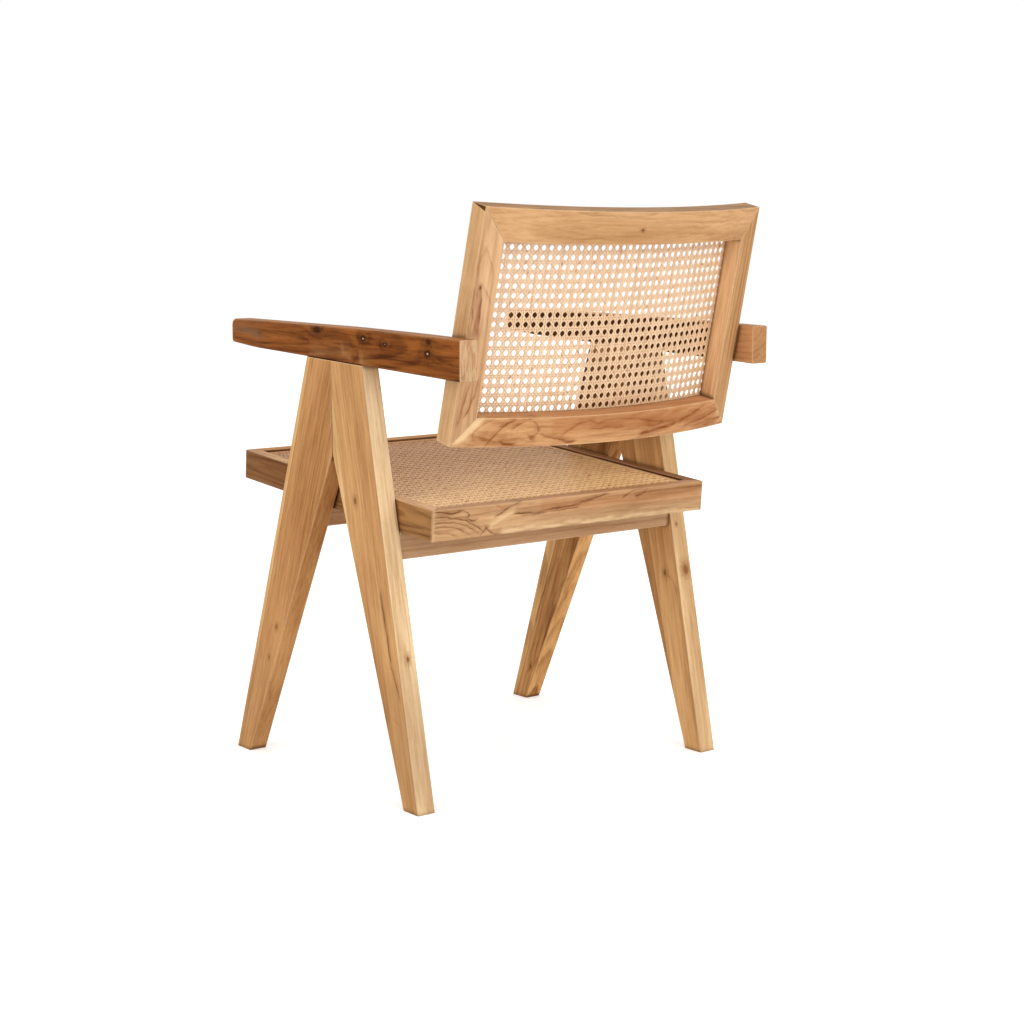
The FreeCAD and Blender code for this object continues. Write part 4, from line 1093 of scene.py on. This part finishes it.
# %% Cane finish
FADE_REAR = 0.13
FADE_FRONT = -0.2
STRAND_OFFSET = 7.0
CANE_FIBRE = (9.0, 45.0)
CANE_BLOTCH = 14.0
JOINT_STEP = 0.31
JOINT_EDGE = (0.012, 0.003)
RIM_EDGE = (0.26, 0.42)
BLOTCH_EDGE = (0.45, 0.75)
CHANCE_DEPTH, BLOTCH_DEPTH, CANE_FIBRE_DEPTH, JOINT_DEPTH = 0.3, 0.24, 0.5, 0.5
CANE_GLOSS = (0.3, 0.22)
RIM_DROP = -0.6
CANE_BUMP_STRENGTH = 0.4


def make_cane_skin():
    tree, take, give = new_group("cane_skin", {"Vector": "Strand", "Color": "Pale Deep", "Float": "Rim"},
                                 {"Color": "Color", "Float": "Roughness Height"})
    place = take["Strand"].split()
    lane = place["X"] * float(STRAND_IDS)
    number, across = lane.step("FLOOR"), lane.step("FRACT")
    chance = put(tree, "TexWhiteNoise", noise_dimensions="1D", W=number)["Value"]
    along = chance * STRAND_OFFSET + place["Y"]
    fibre = put(tree, "CombineXYZ", across * CANE_FIBRE[0], along * CANE_FIBRE[1], number)["Vector"].noise()["Fac"]
    blotch = put(tree, "CombineXYZ", number, along * CANE_BLOTCH)["Vector"].noise()["Fac"].ramp(*BLOTCH_EDGE)
    joint = abs((along / JOINT_STEP).step("FRACT") - 0.5).ramp(*JOINT_EDGE)
    # The strand's edges: painted shade of the gaps between strands, and a lower relief.
    rim = abs(across - 0.5).ramp(*RIM_EDGE)
    depth = chance * CHANCE_DEPTH + blotch * BLOTCH_DEPTH + (fibre - 0.5) * CANE_FIBRE_DEPTH
    depth = (depth + rim * take["Rim"] + joint * JOINT_DEPTH).clamped()
    connect(blend(depth, take["Pale"], take["Deep"]), give["Color"])
    connect(fibre * CANE_GLOSS[0] + CANE_GLOSS[1], give["Roughness"])
    connect(fibre + rim * RIM_DROP, give["Height"])
    return tree


CANE_SKIN = make_cane_skin()


def cane_material(name, pale, deep, front, rim):
    """Cane that takes the tint of its front part by degrees from the rear to the front of the sheet; on the seat this
    tint is painted shade.
    """
    material, tree, shader = new_material(name)
    strand = put(tree, "UVMap", uv_map="strand")["UV"]
    tint = blend(surface(tree).split()["Y"].ramp(FADE_REAR, FADE_FRONT), WHITE, (*front, 1.0))
    pale, deep = (blend(1.0, paint(*tone), tint, "MULTIPLY") for tone in (pale, deep))
    skin = put(tree, "Group", node_tree=CANE_SKIN, Strand=strand, Pale=pale, Deep=deep, Rim=rim)
    finish_shader(shader, skin["Color"], skin["Roughness"], skin["Height"], CANE_BUMP_STRENGTH)
    return material


print("cane skin group:", len(CANE_SKIN.nodes), "nodes")

# %% [markdown]
# The seat's sheet lies flat on the rebate inside the lip and reaches the reed on all four sides. The net's own box,
# read in the tilted seat's frame, says where that is.

# %% Seat cane
SEAT_PITCH = (11.9 * MM, 11.9 * MM)
# The seat's sheet is painted darker towards the front, as painted shade.
SEAT_FRONT_SHADE = (0.63, 0.52, 0.46)
SEAT_RIM_SHADE = 0.72
SEAT_MIDDLE = Vector((0.0, -66.7, 417.7)) * MM
SEAT_PLACE = Matrix.Translation(SEAT_MIDDLE) @ Matrix.Rotation(-SEAT_TILT, 4, "X")


def inner_box(name, place):
    """Lowest and highest corner of a node in a local frame."""
    back = place.inverted()
    spots = [back @ v.co for v in nodes[name].data.vertices]
    return [Vector([choose(s[i] for s in spots) for i in range(3)]) for choose in (min, max)]


low, high = inner_box("seat_cane", SEAT_PLACE)
counts = [even(high[i] - low[i], SEAT_PITCH[i]) for i in (0, 1)]
outline = [((high.x, 0), (1, 0)), ((low.x, 0), (-1, 0)), ((0, high.y), (0, 1)), ((0, low.y), (0, -1))]
weave_panel("seat_cane", counts, SEAT_PITCH, SEAT_STOCK, outline,
            cane_material("seat_cane_skin", (255, 217, 155), (179, 108, 60), SEAT_FRONT_SHADE, SEAT_RIM_SHADE),
            SEAT_PLACE @ Matrix.Translation((0, 0, (low.z + high.z) / 2)))

# %% [markdown]
# The back's sheet is trimmed to the tapering outline while it is flat, so the outline is first measured along the arc.
# On the real chair the sheet went in half a degree askew.

# %% Back cane
BACK_PITCH = (11.435 * MM, 12.484 * MM)
BACK_ASKEW = Matrix.Translation((-3.5 * MM, -2.2 * MM, 0.0)) @ Matrix.Rotation(-0.0102, 4, "Z")
BACK_CENTRE = -889.5 * MM
BACK_RIM_SHADE = 0.5


def arc_outline():
    """Radius of the back net's middle, its lower and upper edge, and its half widths there, measured along the arc."""
    turned = BACK_PLACE.inverted()
    spots = [turned @ v.co for v in nodes["back_cane"].data.vertices]
    radii = [math.hypot(s.x, s.y - BACK_CENTRE) for s in spots]
    radius = (min(radii) + max(radii)) / 2
    bottom, top = min(s.z for s in spots), max(s.z for s in spots)
    wide = [max(math.atan2(abs(s.x), s.y - BACK_CENTRE) for s in spots if abs(s.z - edge) < MM) * radius
            for edge in (bottom, top)]
    return radius, bottom, top, wide


radius, bottom, top, wide = arc_outline()
middle = (bottom + top) / 2
tall = top - bottom
lean = Vector((tall, wide[0] - wide[1])).normalized()
half = (wide[0] + wide[1]) / 2
outline = [((half, 0), lean), ((-half, 0), (-lean.x, lean.y)), ((0, tall / 2), (0, 1)), ((0, -tall / 2), (0, -1))]
counts = [even(2 * wide[0], BACK_PITCH[0]), even(tall, BACK_PITCH[1])]
weave_panel("back_cane", counts, BACK_PITCH, BACK_STOCK, outline,
            cane_material("back_cane_skin", (242, 208, 167), (178, 122, 78), WHITE[:3], BACK_RIM_SHADE),
            BACK_PLACE @ Matrix.Translation((0, radius + BACK_CENTRE, middle)), BACK_ASKEW, radius)
print("back arc radius", round(radius, 4), "half widths", [round(w, 4) for w in wide])

# %% [markdown]
# Round reed is pressed into a groove over the sheet's edge and locks it. Its fibres run along it, so the finish picks
# the direction from the side of the panel it is on. The tenons and screws are hidden in the joints, but whoever takes
# the chair apart in another scene will see them, so they get a plain teak and a turned steel.

# %% Reeds and hidden joinery
REED_EDGE = 0.7 * MM
REED_SIDE_FIBRE = (1200.0, 60.0, 60.0)
REED_CROSS_FIBRE = (60.0, 1200.0, 1200.0)
REED_SIDE_EDGE = (0.206, 0.208)
REED_BLOTCH = (25.0, 25.0, 25.0)
REED_DEPTH = (0.7, 0.4)
REED_GLOSS = (0.3, 0.4)
STEEL_TURNED = (200.0, 200.0, 2600.0)
STEEL_GLOSS = (0.3, 0.25)
TENON_GRAIN = {"Pith": (0.0, 0.08, 0.02), "Ring": 0.006, "Wander": 0.008, "Figure": 0.5, "Seed": 17.0}


def reed_material():
    material, tree, shader = new_material("reed_core")
    spot = surface(tree)
    side = abs(spot.split()["X"]).ramp(*REED_SIDE_EDGE)
    fibre = spot.noise(REED_SIDE_FIBRE)["Fac"] * side + spot.noise(REED_CROSS_FIBRE)["Fac"] * (1.0 - side)
    depth = (fibre * REED_DEPTH[0] + spot.noise(REED_BLOTCH)["Fac"] * REED_DEPTH[1]).clamped()
    color = blend(depth, paint(240, 198, 146), paint(186, 134, 86))
    finish_shader(shader, color, fibre * REED_GLOSS[0] + REED_GLOSS[1], fibre)
    return material


def steel_material():
    material, tree, shader = new_material("screw_steel")
    spot = surface(tree)
    turned = spot.noise(STEEL_TURNED, detail=3.0)["Fac"]
    shader.inputs["Metallic"].default_value = 1.0
    color = blend(turned, paint(206, 202, 190), paint(150, 146, 138))
    finish_shader(shader, color, turned * STEEL_GLOSS[0] + STEEL_GLOSS[1])
    return material


def tenon_material():
    material, tree, shader = new_material("tenon_teak")
    grain = put(tree, "Group", node_tree=TEAK_GRAIN, Board=surface(tree), Pale=paint(214, 164, 110),
                Deep=paint(156, 102, 56), **TENON_GRAIN)
    finish_shader(shader, grain["Color"], grain["Roughness"])
    return material


reed, tenon, steel = reed_material(), tenon_material(), steel_material()
for name in ("seat_spline", "back_spline"):
    piece = copy_node(name, REED_EDGE)
    give_finish(piece, reed)
for name, node in nodes.items():
    if name.endswith("_tenons") or name == "seat_screws":
        give_finish(node, steel if name == "seat_screws" else tenon)
print("reeds, tenons and screws dressed")
